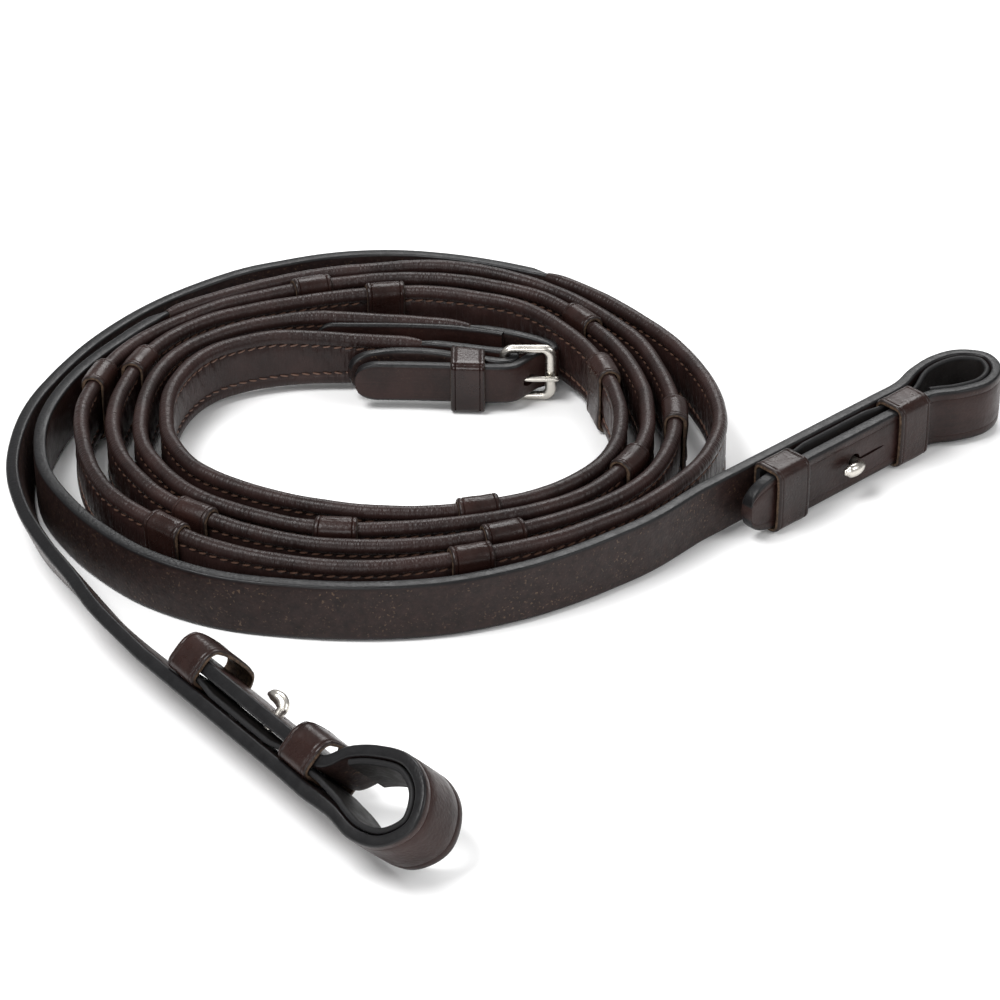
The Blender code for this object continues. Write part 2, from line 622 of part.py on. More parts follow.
def build_tongue(bar):
    """The tongue: a wire wrapped round the hinge bar, its tip resting on the far bar."""
    wrap = BAR_RADIUS + TONGUE_CLEARANCE + TONGUE_RADIUS
    up = np.array([0.0, 0.0, 1.0])
    rings = []
    for angle in np.radians(range(10, 271, 26)):
        outward = np.array([math.cos(angle), math.sin(angle), 0.0])
        rings.append(round_ring(outward * wrap, outward, up, TONGUE_RADIUS, 8))
    side = np.array([0.0, -1.0, 0.0])
    for x, share in TONGUE_TAPER:
        middle = np.array([x * MM, -wrap, 0.0])
        rings.append(round_ring(middle, side, up, TONGUE_RADIUS * share, 8))
    tongue = add_object("buckle_tongue", loft(rings), STEEL, 0.25, 1.0)
    tongue.location = (bar[0], bar[1], TONGUE_HEIGHT)
    return tongue


def build_centre_keeper():
    """The keeper beside the buckle, round the chape and the billet only."""
    outer, inner = [], []
    for x, front, back in CENTRE_KEEPER_ENDS:
        middle = np.append(in_plan([(x, (front + back) / 2)])[0], CENTRE_KEEPER_HEIGHT)
        depth = (back - front) * MM
        for rings, wall, cut_size in ((outer, KEEPER_WALL, 1.5 * MM), (inner, 0.0, 0.4 * MM)):
            corners = strap_corners(CENTRE_KEEPER_WIDTH - 2 * (KEEPER_WALL - wall),
                                    depth + 2 * wall, cut_size)
            rings.append([middle + np.array([0.0, a, u]) for a, u in corners])
    return add_object("centre_keeper", loft_tube(outer, inner), BROWN, 0.45)


def build_billet_backing(rein):
    """The short ply behind the left rein's buckle end, beside its soft cover."""
    start = rein.route.nearest(in_plan([(2, 74)])[0], 0.04, 0.2)
    finish = rein.route.nearest(in_plan([(-57, 76)])[0], 0.04, 0.2)
    offset = -(COVER_THICKNESS / 2 + GAP + BACKING_THICKNESS / 2)
    tips = [finish - back * MM for back in (6, 3, 1, 0)]
    stations = list(np.linspace(start, tips[0], 6)) + tips[1:]
    rings = []
    for d in stations:
        width = min(rein.cover_width(d), BACKING_WIDTH) * tip_share(finish - d, 6 * MM)
        rings.append(rein.ring(d, width, BACKING_THICKNESS, offset))
    return add_object("left_billet_backing", loft(rings), BROWN, 0.55)


# ---------------------------------------------------------------- the whole part

for leftover in list(bpy.data.objects):
    bpy.data.objects.remove(leftover, do_unlink=True)

PARTS = collection_named("bridle_reins")
CUTTERS = collection_named("bridle_reins_cutters")


def main():
    """Build both reins and the buckle between them."""
    right = right_rein(BitEnd(
        side="right", origin=(118.2, 36.3), heading=43.0, lean=0.0, slit=1.8 * MM,
        loop=(32.5 * MM, 20.0 * MM, -1.8 * MM),
        keepers=((-13.5 * MM, -66 * MM), 13 * MM, 0.4 * MM),
        stud=-32.0 * MM, tip=-75.5 * MM))
    left = left_rein(BitEnd(
        side="left", origin=(-45.5, -158.0), heading=-52.3, lean=42.0, slit=0.8 * MM,
        loop=(34.5 * MM, 22.5 * MM, 1.1 * MM),
        keepers=((-14.5 * MM, -65.5 * MM), 12 * MM, 2.2 * MM),
        stud=-30.5 * MM, tip=-70 * MM))
    straps = []
    for rein in (right, left):
        strap = rein.build_strap()
        rein.build_cover()
        rein.build_stops()
        lining = rein.end.build_lining()
        rein.end.cut_stud_holes(strap, lining)
        for name, along in zip(("by_loop", "by_tip"), rein.end.keepers):
            rein.end.build_keeper(name, along)
        rein.end.build_stud()
        straps.append(strap)
    bar = in_plan([HINGE_BAR])[0]
    cut_tongue_slot(straps[0], bar)
    cut_billet_hole(straps[1], bar)
    build_frame(bar)
    build_tongue(bar)
    build_centre_keeper()
    build_billet_backing(left)


main()
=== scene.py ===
"""Leather bridle reins, buckled at the centre and coiled on a pale floor."""

import math

import bmesh
import bpy
import numpy as np
from mathutils import Matrix, Vector


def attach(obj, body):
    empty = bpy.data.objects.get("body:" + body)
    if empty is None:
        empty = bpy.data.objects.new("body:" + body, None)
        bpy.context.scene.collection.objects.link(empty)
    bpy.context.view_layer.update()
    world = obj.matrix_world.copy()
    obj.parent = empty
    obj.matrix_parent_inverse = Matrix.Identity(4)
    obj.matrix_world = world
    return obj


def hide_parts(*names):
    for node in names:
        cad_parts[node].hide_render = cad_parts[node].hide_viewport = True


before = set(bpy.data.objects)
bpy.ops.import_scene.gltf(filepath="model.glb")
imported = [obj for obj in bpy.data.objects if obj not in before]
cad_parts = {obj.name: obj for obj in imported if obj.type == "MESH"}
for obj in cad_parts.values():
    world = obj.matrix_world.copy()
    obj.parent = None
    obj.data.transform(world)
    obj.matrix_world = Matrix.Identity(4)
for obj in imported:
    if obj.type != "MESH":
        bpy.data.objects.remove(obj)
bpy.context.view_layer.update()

MM = 0.001
UP = np.array([0.0, 0.0, 1.0])
BACK = np.array([0.0, 1.0, 0.0])

# Straps, in metres
PLAIN_WIDTH = 17.5 * MM
PLAIN_THICKNESS = 3.8 * MM
BIT_END_WIDTH = 17.6 * MM
LOOP_THICKNESS = 3.2 * MM
BUCKLE_END_WIDTH = 12.6 * MM
BUCKLE_END_THICKNESS = 3.1 * MM
GAP = 0.3 * MM
COVER_WIDTH = 19.4 * MM
COVER_THICKNESS = 4.1 * MM
COVER_WALL = 0.8 * MM
COVER_GAP = 0.25 * MM
COVER_END_WIDTH = BUCKLE_END_WIDTH + 2 * (COVER_WALL + COVER_GAP)
STOP_LENGTH = 12.0 * MM
STOP_WIDTH = 22.4 * MM
STOP_THICKNESS = 7.9 * MM
COVER_HEIGHT = STOP_WIDTH / 2
BUCKLE_HEIGHT = 9.5 * MM
KEEPER_WALL = 1.2 * MM
KEEPER_OFFSET = PLAIN_THICKNESS + GAP
LINING_THICKNESS = 1.6 * MM
LOOP_LINING_THICKNESS = 1.8 * MM
LINING_OFFSET = KEEPER_OFFSET + KEEPER_WALL + GAP
LINING_FACE = LINING_OFFSET + LINING_THICKNESS
KEEPER_WIDTH = BIT_END_WIDTH + 2 * (GAP + KEEPER_WALL)
STUD_HOLE = 1.75 * MM
RETURN_HOLE = 2.4 * MM
SLIT_REACH = 13.0 * MM
SLIT_WIDTH = 0.9 * MM
BAR_RADIUS = 1.3 * MM
FRAME_WIDTH = 14.3 * MM
FRAME_HEIGHT = 18.9 * MM
FRAME_CORNER = 2.6 * MM
TONGUE_RADIUS = 0.9 * MM
TONGUE_CLEARANCE = 0.25 * MM
TONGUE_HEIGHT = 8.5 * MM
CENTRE_KEEPER_HEIGHT = 8.8 * MM
CENTRE_KEEPER_WIDTH = 17.3 * MM
BACKING_THICKNESS = 2.2 * MM
BACKING_WIDTH = 15.0 * MM
BODY = "reins"

# Where a rein changes along its length
COVER_TAPER = 45 * MM
END_TURN = 150 * MM
BUCKLE_TIP_REACH = 7 * MM
BIT_TIP_REACH = 12 * MM
COVER_SHARES = (0.05, 0.85)

# The routes below are in millimetres from the coil's plan origin; CENTRE is the middle of
# the coil's footprint there, and becomes the part's origin.
CENTRE = (4.2, -31.4)
HINGE_BAR = (1.2, 58.6)

# Right rein: folded buckle chape, from its tip to the hinge bar
CHAPE_ROUTE = [
    (-46, 58), (-40, 60), (-32, 61.9), (-22, 61.4), (-14, 59.3), (-5, 56.8), (-1, 55.6)]
# Right rein: from the hinge bar outward through the coil, up to its bit end
RIGHT_ROUTE = [
    (-2, 62.2), (-12, 64.6), (-24, 66.8), (-44, 66), (-62, 65), (-76, 61.5), (-87, 55),
    (-94, 45), (-98, 31), (-98, 16), (-95, 1), (-85, -15), (-65, -28), (-42, -35.5),
    (-20, -36.8), (-2, -33), (13, -26.5), (25, -16), (32.5, -3), (35.4, 14), (34.2, 30),
    (29.2, 50), (21.6, 65.6), (8, 82), (-8, 89.3), (-24, 92.8), (-40, 91.5), (-58, 87.5),
    (-78, 80.5), (-92, 72.5), (-102.5, 61), (-109, 47), (-113, 29), (-113.5, 12), (-110, -4),
    (-104, -16.5), (-96, -28), (-85, -37.5), (-70, -46.5), (-53, -52.7), (-35, -54.4),
    (-17, -52.6), (1, -47.5), (18, -39.5), (33, -29), (43.5, -15.5), (49.5, 1), (51.5, 18),
    (49.6, 36), (44, 57), (36.3, 71), (24.3, 86), (9.5, 98.6), (-8, 107.2), (-24, 109.7),
    (-42, 107.2), (-60, 103), (-82, 92.6), (-103.5, 77.5), (-117, 60.5), (-127, 43.5),
    (-133, 25.5), (-134.4, 8.5), (-131, -10.5), (-122, -28), (-111, -42.5), (-97, -55.5),
    (-78, -65.5), (-56, -70.3), (-34, -71.7), (-14, -69.5), (4, -63.5), (18, -56.3), (31, -47.5),
    (43, -38)]
# Left rein: billet from its tip, through the buckle, outward through the coil to its bit end
LEFT_ROUTE = [
    (-44, 53.6), (-30, 53.3), (-14, 52.5), (-2, 51.8), (3.6, 52.4), (7.2, 56), (10.4, 60),
    (13.6, 62), (16.4, 63.5), (15.2, 66.4), (10, 70), (0, 74.4), (-12, 77.3), (-28, 77.6),
    (-46, 76.6), (-62, 75.3), (-77, 70.6), (-90, 62.2), (-98.5, 52), (-103.6, 38), (-105.5, 22),
    (-105, 8), (-101.5, -5), (-91, -22.5), (-77, -34), (-58, -42.8), (-42, -45.5), (-24, -44.5),
    (-6, -41), (10, -35.5), (25, -26), (37.2, -9.4), (42.5, 6), (43.4, 20), (42.2, 35),
    (36.3, 55.5), (25.2, 75), (13, 89), (-2, 96.5), (-18, 101), (-38, 101), (-59, 96),
    (-73, 90.5), (-87, 83.5), (-99, 73.6), (-110, 61.5), (-118, 46), (-123, 24), (-121.8, 5.6),
    (-117, -13), (-109, -28.5), (-93, -44.5), (-76, -56), (-55, -63), (-34, -64.8), (-9, -59.5),
    (13, -51.5), (28, -42.3), (42, -31), (56, -13), (63.2, 5), (64.5, 20), (61.8, 37),
    (54, 57.5), (41.6, 76.5), (28.4, 91.5), (15, 102.5), (0, 110.5), (-16, 116.5), (-33, 120),
    (-50, 119.8), (-66, 116), (-84, 108), (-106, 89.5), (-122.3, 67.5), (-133.2, 44.5),
    (-138.4, 26), (-139.8, 7), (-138, -12), (-132, -31), (-123.5, -47.5), (-114.5, -62),
    (-105.8, -77)]

# The teardrop that a bit loop follows, as fractions of the loop's length and width
LOOP_SHAPE = [
    (0.3, 0.04), (0.6, 0.0), (0.86, 0.13), (1.0, 0.48), (0.88, 0.85), (0.62, 1.0),
    (0.34, 0.88), (0.12, 0.68)]

# Places of the hand stops along each rein, and of the ends of its soft cover
RIGHT_STOPS = [(-2, -33), (30, 43), (-36, 92.6), (-109, 48), (-85, -37), (1, -47.5), (51.5, 18)]
LEFT_STOPS = [(-42, -45), (37.2, -9.4), (25, 75), (-59, 96), (-121, 40), (-93, -45), (-8, -59)]
RIGHT_COVER_ENDS = [(-24, 67), (-103, 78)]
LEFT_COVER_ENDS = [(-9, 77), (15, 102.5)]


# ---- camera, floor and light

TARGET = Vector((-0.0042, 0.0314, 0.0))
PITCH = math.radians(32)
DISTANCE = 1.0
LENS = 122.94

camera = bpy.data.objects.new("camera", bpy.data.cameras.new("camera"))
camera.data.sensor_width = 36.0
camera.data.lens = LENS
camera.location = TARGET + Vector((0, -math.cos(PITCH), math.sin(PITCH))) * DISTANCE
camera.rotation_euler = (math.pi / 2 - PITCH, 0, 0)
bpy.context.scene.collection.objects.link(camera)
bpy.context.scene.camera = camera


def area_light(name, place, size, power, aim=(0, 0, 0)):
    """A soft square light that faces a point."""
    light = bpy.data.objects.new(name, bpy.data.lights.new(name, "AREA"))
    light.data.size = size
    light.data.energy = power
    light.location = place
    way = Vector(aim) - Vector(place)
    light.rotation_euler = way.to_track_quat("-Z", "Y").to_euler()
    bpy.context.scene.collection.objects.link(light)


area_light("key_light", (-0.55, -0.25, 1.15), 0.55, 14.5)
area_light("fill_light", (0.95, -0.45, 0.75), 0.6, 5.0)
area_light("back_light", (0.15, 0.95, 0.95), 0.7, 11.5)
area_light("front_light", (-0.2, -1.15, 0.45), 0.5, 4.8, aim=(0, 0, 0.01))

world = bpy.data.worlds.new("studio")
world.use_nodes = True
world.node_tree.nodes["Background"].inputs["Color"].default_value = (1, 1, 1, 1)
world.node_tree.nodes["Background"].inputs["Strength"].default_value = 0.36
bpy.context.scene.world = world
bpy.context.scene.view_settings.view_transform = "Standard"


# ---- materials

class Shader:
    """A procedural material whose nodes are added one at a time."""

    def __init__(self, name):
        self.material = bpy.data.materials.new(name)
        self.material.use_nodes = True
        self.nodes = self.material.node_tree.nodes
        self.links = self.material.node_tree.links
        self.surface = self.nodes["Principled BSDF"]

    def add(self, kind, values=None, **settings):
        """One node; values that are sockets are linked, and the others are set."""
        node = self.nodes.new(kind)
        for key, value in settings.items():
            setattr(node, key, value)
        for key, value in (values or {}).items():
            self.feed(node, key, value)
        return node

    def feed(self, node, key, value):
        """Link a socket to an input, or set the input's own value."""
        if isinstance(value, bpy.types.NodeSocket):
            self.links.new(value, node.inputs[key])
        else:
            node.inputs[key].default_value = value

    def spots(self, coordinates, scale, detail=3.0, roughness=0.6):
        """Noise from 0 to 1."""
        return self.add("ShaderNodeTexNoise", {
            "Vector": coordinates, "Scale": scale, "Detail": detail,
            "Roughness": roughness}).outputs["Fac"]

    def cells(self, coordinates, scale):
        """The distance to the middle of the nearest cell, for leather grain."""
        return self.add("ShaderNodeTexVoronoi", {
            "Vector": coordinates, "Scale": scale}, feature="SMOOTH_F1").outputs["Distance"]

    def between(self, value, low, high, to_low=0.0, to_high=1.0):
        """A value stretched from one range to another, and kept inside it."""
        return self.add("ShaderNodeMapRange", {
            "Value": value, "From Min": low, "From Max": high, "To Min": to_low,
            "To Max": to_high}).outputs["Result"]

    def mix(self, share, first, second):
        """A colour between two."""
        node = self.add("ShaderNodeMix", data_type="RGBA")
        for key, value in ((0, share), (6, first), (7, second)):
            if isinstance(value, tuple) and len(value) == 3:
                value = (*value, 1.0)
            self.feed(node, key, value)
        return node.outputs[2]

    def sums(self, operation, first, second):
        """Arithmetic on two values."""
        node = self.add("ShaderNodeMath", operation=operation)
        self.feed(node, 0, first)
        self.feed(node, 1, second)
        return node.outputs[0]

    def attribute(self, name):
        """A value stored on the mesh."""
        return self.add("ShaderNodeAttribute", attribute_name=name).outputs["Fac"]

    def place(self):
        """Coordinates in metres, fixed to the leather."""
        return self.add("ShaderNodeTexCoord").outputs["Object"]

    def along(self, stretch):
        """Coordinates along and across a strap, in metres, stretched by a triple."""
        flat = self.add("ShaderNodeUVMap", uv_map="strap").outputs["UV"]
        return self.add("ShaderNodeMapping", {"Vector": flat, "Scale": stretch}).outputs["Vector"]

    def bump(self, height, distance, strength=1.0, under=None):
        """A bump map on the surface, on top of another."""
        values = {"Height": height, "Distance": distance, "Strength": strength}
        if under is not None:
            values["Normal"] = under
        return self.add("ShaderNodeBump", values).outputs["Normal"]


EDGE = (0.0068, 0.0066, 0.0072)
CUT_TAN = (0.105, 0.066, 0.042)
FLESH_DARK = (0.0088, 0.0046, 0.0042)
FLESH_PALE = (0.0235, 0.0124, 0.0108)


def leather(name, face, roughness=(0.36, 0.52), wrinkle=0.0, speckle=0.0, grain=1.0, streak=0.0,
            shine=0.23):
    """Dyed leather: a grained face, darker painted edges and paler scuffs and cut ends."""
    s = Shader(name)
    place = s.place()
    cloud = s.between(s.spots(place, 55.0, 4.0), 0.36, 0.66)
    fine = s.spots(place, 900.0, 3.0, 0.7)
    cells = s.cells(place, 1150.0)
    deep = tuple(c * 0.55 for c in face)
    pale = tuple(c * 1.55 for c in face)
    colour = s.mix(cloud, deep, pale)
    colour = s.mix(s.between(fine, 0.35, 0.75, 0.0, 0.55), colour, tuple(c * 1.25 for c in face))
    if streak:
        runs = s.spots(s.along((45.0, 900.0, 1.0)), 1.0, 2.0)
        colour = s.mix(s.between(runs, 0.55, 0.75, 0.0, streak), colour,
                       tuple(c * 2.1 for c in face))
    near = s.attribute("edge_tone_and_seam_shade")

    def flecks(fineness, low, spread, patch, least):
        """Small pale flecks, thicker in some patches than in others."""
        small = s.between(s.spots(place, fineness, 2.0, 0.5), low, 0.70)
        patches = s.between(s.spots(place, spread, 3.0), patch, 0.62, least, 1.0)
        return s.sums("MULTIPLY", small, patches)

    if speckle:
        reach = s.between(near, 0.0, 0.6, 0.25, 1.0)
        amount = s.sums("MULTIPLY", flecks(1500.0, 0.60, 120.0, 0.42, 0.25), reach)
        colour = s.mix(s.sums("MULTIPLY", amount, speckle), colour, CUT_TAN)
    # painted shade in the covers' sewn channels, and a darker tone on strap and band faces near
    # their edges
    colour = s.mix(s.between(near, 0.55, 1.0, 0.0, 0.7), colour, tuple(c * 0.7 for c in face))
    flesh = s.attribute("flesh")
    nap = s.mix(s.between(s.spots(place, 420.0, 5.0, 0.75), 0.35, 0.68), FLESH_DARK, FLESH_PALE)
    nap = s.mix(s.sums("MULTIPLY", flecks(1250.0, 0.615, 95.0, 0.38, 0.15), 0.75), nap, CUT_TAN)
    colour = s.mix(flesh, colour, nap)
    colour = s.mix(s.attribute("rim"), colour, EDGE)
    cut_colour = s.mix(s.between(fine, 0.4, 0.62), tuple(c * 0.35 for c in CUT_TAN), CUT_TAN)
    colour = s.mix(s.attribute("cut"), colour, cut_colour)
    s.feed(s.surface, "Base Color", colour)
    gloss = s.between(s.spots(place, 260.0, 3.0), 0.3, 0.7, *roughness)
    gloss = s.sums("ADD", gloss, s.sums("MULTIPLY", s.attribute("cut"), 0.35))
    gloss = s.sums("ADD", gloss, s.sums("MULTIPLY", flesh, 0.12))
    s.feed(s.surface, "Roughness", gloss)
    s.feed(s.surface, "Specular IOR Level", shine)
    normal = s.bump(cells, 0.00009, 0.6 * grain)
    normal = s.bump(fine, 0.00012, 0.5 * grain, normal)
    if wrinkle:
        folds = s.spots(s.along((700.0, 90.0, 1.0)), 1.0, 3.0)
        normal = s.bump(folds, 0.0005, wrinkle, normal)
    s.feed(s.surface, "Normal", normal)
    return s.material


def thread(name, colour):
    """Waxed sewing thread."""
    s = Shader(name)
    place = s.place()
    twist = s.spots(place, 2600.0, 2.0)
    tint = s.mix(twist, tuple(c * 0.6 for c in colour), tuple(c * 1.4 for c in colour))
    s.feed(s.surface, "Base Color", tint)
    s.feed(s.surface, "Roughness", 0.62)
    s.feed(s.surface, "Normal", s.bump(twist, 0.0001, 0.6))
    return s.material


def steel(name):
    """Warm polished steel with fine scratches."""
    s = Shader(name)
    place = s.place()
    cloud = s.spots(place, 160.0, 4.0)
    scratches = s.spots(s.add("ShaderNodeMapping", {
        "Vector": place, "Scale": (3000.0, 500.0, 300.0)}).outputs["Vector"], 1.0, 2.0)
    s.feed(s.surface, "Base Color", s.mix(cloud, (0.50, 0.475, 0.43), (0.66, 0.63, 0.58)))
    s.feed(s.surface, "Metallic", 1.0)
    s.feed(s.surface, "Roughness", s.between(cloud, 0.3, 0.7, 0.22, 0.36))
    s.feed(s.surface, "Normal", s.bump(scratches, 0.00002, 0.4))
    return s.material


STRAP = leather("bridle_leather", (0.0172, 0.0074, 0.0062), (0.30, 0.46), speckle=0.35, streak=0.3)
SOFT = leather("soft_cover_leather", (0.0168, 0.0084, 0.0074), (0.30, 0.44), wrinkle=1.0)
TRIM = leather("trim_leather", (0.0158, 0.0068, 0.0055), (0.22, 0.40), speckle=0.15)
GLOSSY = leather("polished_leather", (0.0158, 0.0068, 0.0056), (0.15, 0.29), grain=0.6,
                 shine=0.30)
LINING = leather("lining_leather", (0.0085, 0.0070, 0.0066), (0.50, 0.68), speckle=0.2)
THREAD = thread("brown_thread", (0.105, 0.054, 0.036))
STEEL = steel("polished_steel")


def floor():
    """A pale floor under everything."""
    s = Shader("pale_floor")
    s.feed(s.surface, "Base Color", (0.92, 0.92, 0.92, 1.0))
    s.feed(s.surface, "Roughness", 0.9)
    builder = bmesh.new()
    bmesh.ops.create_grid(builder, x_segments=1, y_segments=1, size=6.0)
    mesh = bpy.data.meshes.new("floor")
    builder.to_mesh(mesh)
    builder.free()
    mesh.materials.append(s.material)
    thing = bpy.data.objects.new("floor", mesh)
    bpy.context.scene.collection.objects.link(thing)
    thing.location = (0, 0, -0.0002)


floor()


# ---- routes

def smooth_line(points, step=0.5 * MM):
    """Points about `step` apart on a smooth curve through the given ones."""
    points = np.asarray(points, float)
    padded = np.vstack([2 * points[0] - points[1], points, 2 * points[-1] - points[-2]])
    line = []
    for p0, p1, p2, p3 in zip(padded, padded[1:], padded[2:], padded[3:]):
        count = max(2, int(np.linalg.norm(p2 - p1) / step))
        t = (np.arange(count) / count)[:, None]
        line.append(0.5 * (2 * p1 + (p2 - p0) * t + (2 * p0 - 5 * p1 + 4 * p2 - p3) * t ** 2
                           + (3 * p1 - p0 - 3 * p2 + p3) * t ** 3))
    line.append(points[-1:])
    return np.vstack(line)


class Route:
    """A strap's centre line, read by the distance along it."""

    def __init__(self, line):
        self.line = np.asarray(line, float)
        steps = np.linalg.norm(np.diff(self.line, axis=0), axis=1)
        self.distances = np.concatenate([[0.0], np.cumsum(steps)])
        self.length = self.distances[-1]

    def at(self, distance):
        """Points at distances along the line."""
        return np.stack([np.interp(distance, self.distances, column)
                         for column in self.line.T], -1)

    def direction(self, distance, reach=1.5 * MM):
        """Unit directions of travel at distances along the line."""
        distance = np.asarray(distance, float)
        way = (self.at(np.minimum(distance + reach, self.length))
               - self.at(np.maximum(distance - reach, 0.0)))
        return way / np.linalg.norm(way, axis=-1, keepdims=True)

    def nearest(self, point, low=0.0, high=1.0):
        """The distance along the line nearest to a point, between two shares of its length."""
        inside = (self.distances >= low * self.length) & (self.distances <= high * self.length)
        offsets = np.linalg.norm(self.line - np.asarray(point, float), axis=1)
        offsets[~inside] = np.inf
        return self.distances[int(np.argmin(offsets))]


def in_plan(points):
    """Route points in metres from the part's origin."""
    return (np.asarray(points, float) - np.asarray(CENTRE)) * MM


def values_along(stops):
    """A function of distance that runs straight from one (distance, value) pair to the next."""
    distances, values = zip(*stops)
    return lambda distance: np.interp(distance, distances, values)


def tip_share(from_end, reach):
    """How much of a strap's width is left near its rounded tip."""
    inside = np.clip(1.0 - np.maximum(from_end, 0.0) / reach, 0.0, 1.0)
    return np.where(from_end >= reach, 1.0, 0.3 + 0.7 * np.sqrt(1.0 - inside ** 2))


def from_ends(distances):
    """How far each distance is from the nearer end of them all."""
    return np.minimum(distances - distances[0], distances[-1] - distances)


def spaced(start, finish, step):
    """Evenly spaced distances from start to finish, about `step` apart."""
    return np.linspace(start, finish, max(2, int(round((finish - start) / step)) + 1))


# ---- meshes

def ripple(u, v, seed, periods):
    """A smooth random height from -1 to 1 over a surface, from a few slanted waves."""
    draw = np.random.default_rng(seed)
    total = np.zeros(np.broadcast(u, v).shape)
    for period in periods:
        slant = draw.uniform(-0.5, 0.5)
        phase = draw.uniform(0, 2 * math.pi, 3)
        drift = np.sin(u / (period * 7.3) * 2 * math.pi + phase[1]) * 1.9
        drift = drift + np.sin(v / (period * 3.1) * 2 * math.pi + phase[2]) * 0.8
        total = total + np.sin((u + slant * v) / period * 2 * math.pi + phase[0] + drift)
    return total / len(periods)


def outward(rows):
    """Unit normals of a grid of points whose columns go round, pointing out."""
    round_way = np.roll(rows, -1, axis=1) - np.roll(rows, 1, axis=1)
    long_way = np.gradient(rows, axis=0)
    normal = np.cross(round_way, long_way)
    normal /= np.maximum(np.linalg.norm(normal, axis=-1, keepdims=True), 1e-12)
    spokes = rows - rows.mean(axis=1, keepdims=True)
    if (normal * spokes).sum() < 0:
        normal = -normal
    return normal


def new_piece(name, vertices, faces, surface, node=None, slot=None, values=None, uv=None,
              body=BODY, sharp=40):
    """A finished piece: its mesh, its stored values, its material and its body. The slot is not
    used.
    """
    mesh = bpy.data.meshes.new(name)
    mesh.from_pydata([tuple(v) for v in vertices], [], [tuple(f) for f in faces])
    for key in ("rim", "edge_tone_and_seam_shade", "cut", "flesh"):
        store = mesh.attributes.new(key, "FLOAT", "POINT")
        if values and key in values:
            store.data.foreach_set("value", np.asarray(values[key], np.float32).ravel())
    if uv is not None:
        layer = mesh.uv_layers.new(name="strap")
        corners = np.zeros((len(mesh.loops), 2), np.float32)
        corners[:len(uv)] = uv
        layer.data.foreach_set("uv", corners.ravel())
    mesh.materials.append(surface)
    builder = bmesh.new()
    builder.from_mesh(mesh)
    bmesh.ops.recalc_face_normals(builder, faces=builder.faces)
    builder.to_mesh(mesh)
    builder.free()
    mesh.shade_smooth()
    mesh.set_sharp_from_angle(angle=math.radians(sharp))
    thing = bpy.data.objects.new(name, mesh)
    bpy.context.scene.collection.objects.link(thing)
    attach(thing, body)
    if node:
        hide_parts(node)
    return thing


def grid_faces(count, around, first=0, closed=False):
    """Quads between rings of points, and round the whole loop when closed."""
    i = np.arange(count if closed else count - 1)[:, None]
    j = np.arange(around)[None, :]
    after = (i + 1) % count
    side = (j + 1) % around
    corners = [i * around + j, i * around + side, after * around + side, after * around + j]
    corners = [np.broadcast_to(corner, (len(i), around)) for corner in corners]
    return np.stack(corners, -1).reshape(-1, 4) + first


def grid_uv(distances, offsets):
    """The along-and-across place of every corner of a grid's quads."""
    offsets = np.append(offsets, offsets[-1] + (offsets[-1] - offsets[-2]))
    n, m = len(distances), len(offsets) - 1
    i = np.arange(n - 1)[:, None]
    j = np.arange(m)[None, :]
    u = [distances[i + d] + 0 * j for d in (0, 0, 1, 1)]
    v = [offsets[j + d] + 0 * i for d in (0, 1, 1, 0)]
    return np.stack([np.stack(u, -1), np.stack(v, -1)], -1).reshape(-1, 2)


def sweep(name, rows, surface, distances=None, offsets=None, values=None, closed=False, **facts):
    """A closed solid through rings of points, capped at both ends or joined to itself."""
    n, m = rows.shape[:2]
    faces = [tuple(f) for f in grid_faces(n, m, closed=closed)]
    uv = None
    if distances is not None and not closed:
        uv = grid_uv(np.asarray(distances), np.asarray(offsets))
    if not closed:
        faces += [tuple(range(m)), tuple(range((n - 1) * m, n * m))]
    return new_piece(name, rows.reshape(-1, 3), faces, surface, values=values, uv=uv, **facts)


def tube(name, outer, inner, surface, distances, offsets, values, **facts):
    """A tube between an outer and an inner skin, with a lip at each open end."""
    n, m = outer.shape[:2]
    k = inner.shape[0]
    first = n * m
    faces = [tuple(f) for f in grid_faces(n, m)]
    uv = grid_uv(np.asarray(distances), np.asarray(offsets))
    faces += [tuple(f[::-1]) for f in grid_faces(k, m, first)]
    for a, b in ((0, first), ((n - 1) * m, first + (k - 1) * m)):
        faces += [(a + j, a + (j + 1) % m, b + (j + 1) % m, b + j) for j in range(m)]
    stored = {}
    for key, value in values.items():
        inside = np.full((k, m), 1.0 if key == "cut" else 0.0)
        stored[key] = np.concatenate([value.ravel(), inside.ravel()])
    vertices = np.vstack([outer.reshape(-1, 3), inner.reshape(-1, 3)])
    return new_piece(name, vertices, faces, surface, values=stored, uv=uv, **facts)


# ---- sections

CORNER_RADIUS = 0.75 * MM
# Where a strap's face has points, measured from its edge; the middle three carry the crease
FACE_MARKS = np.array([1.3, 2.2, 2.6, 3.0, 5.5]) * MM


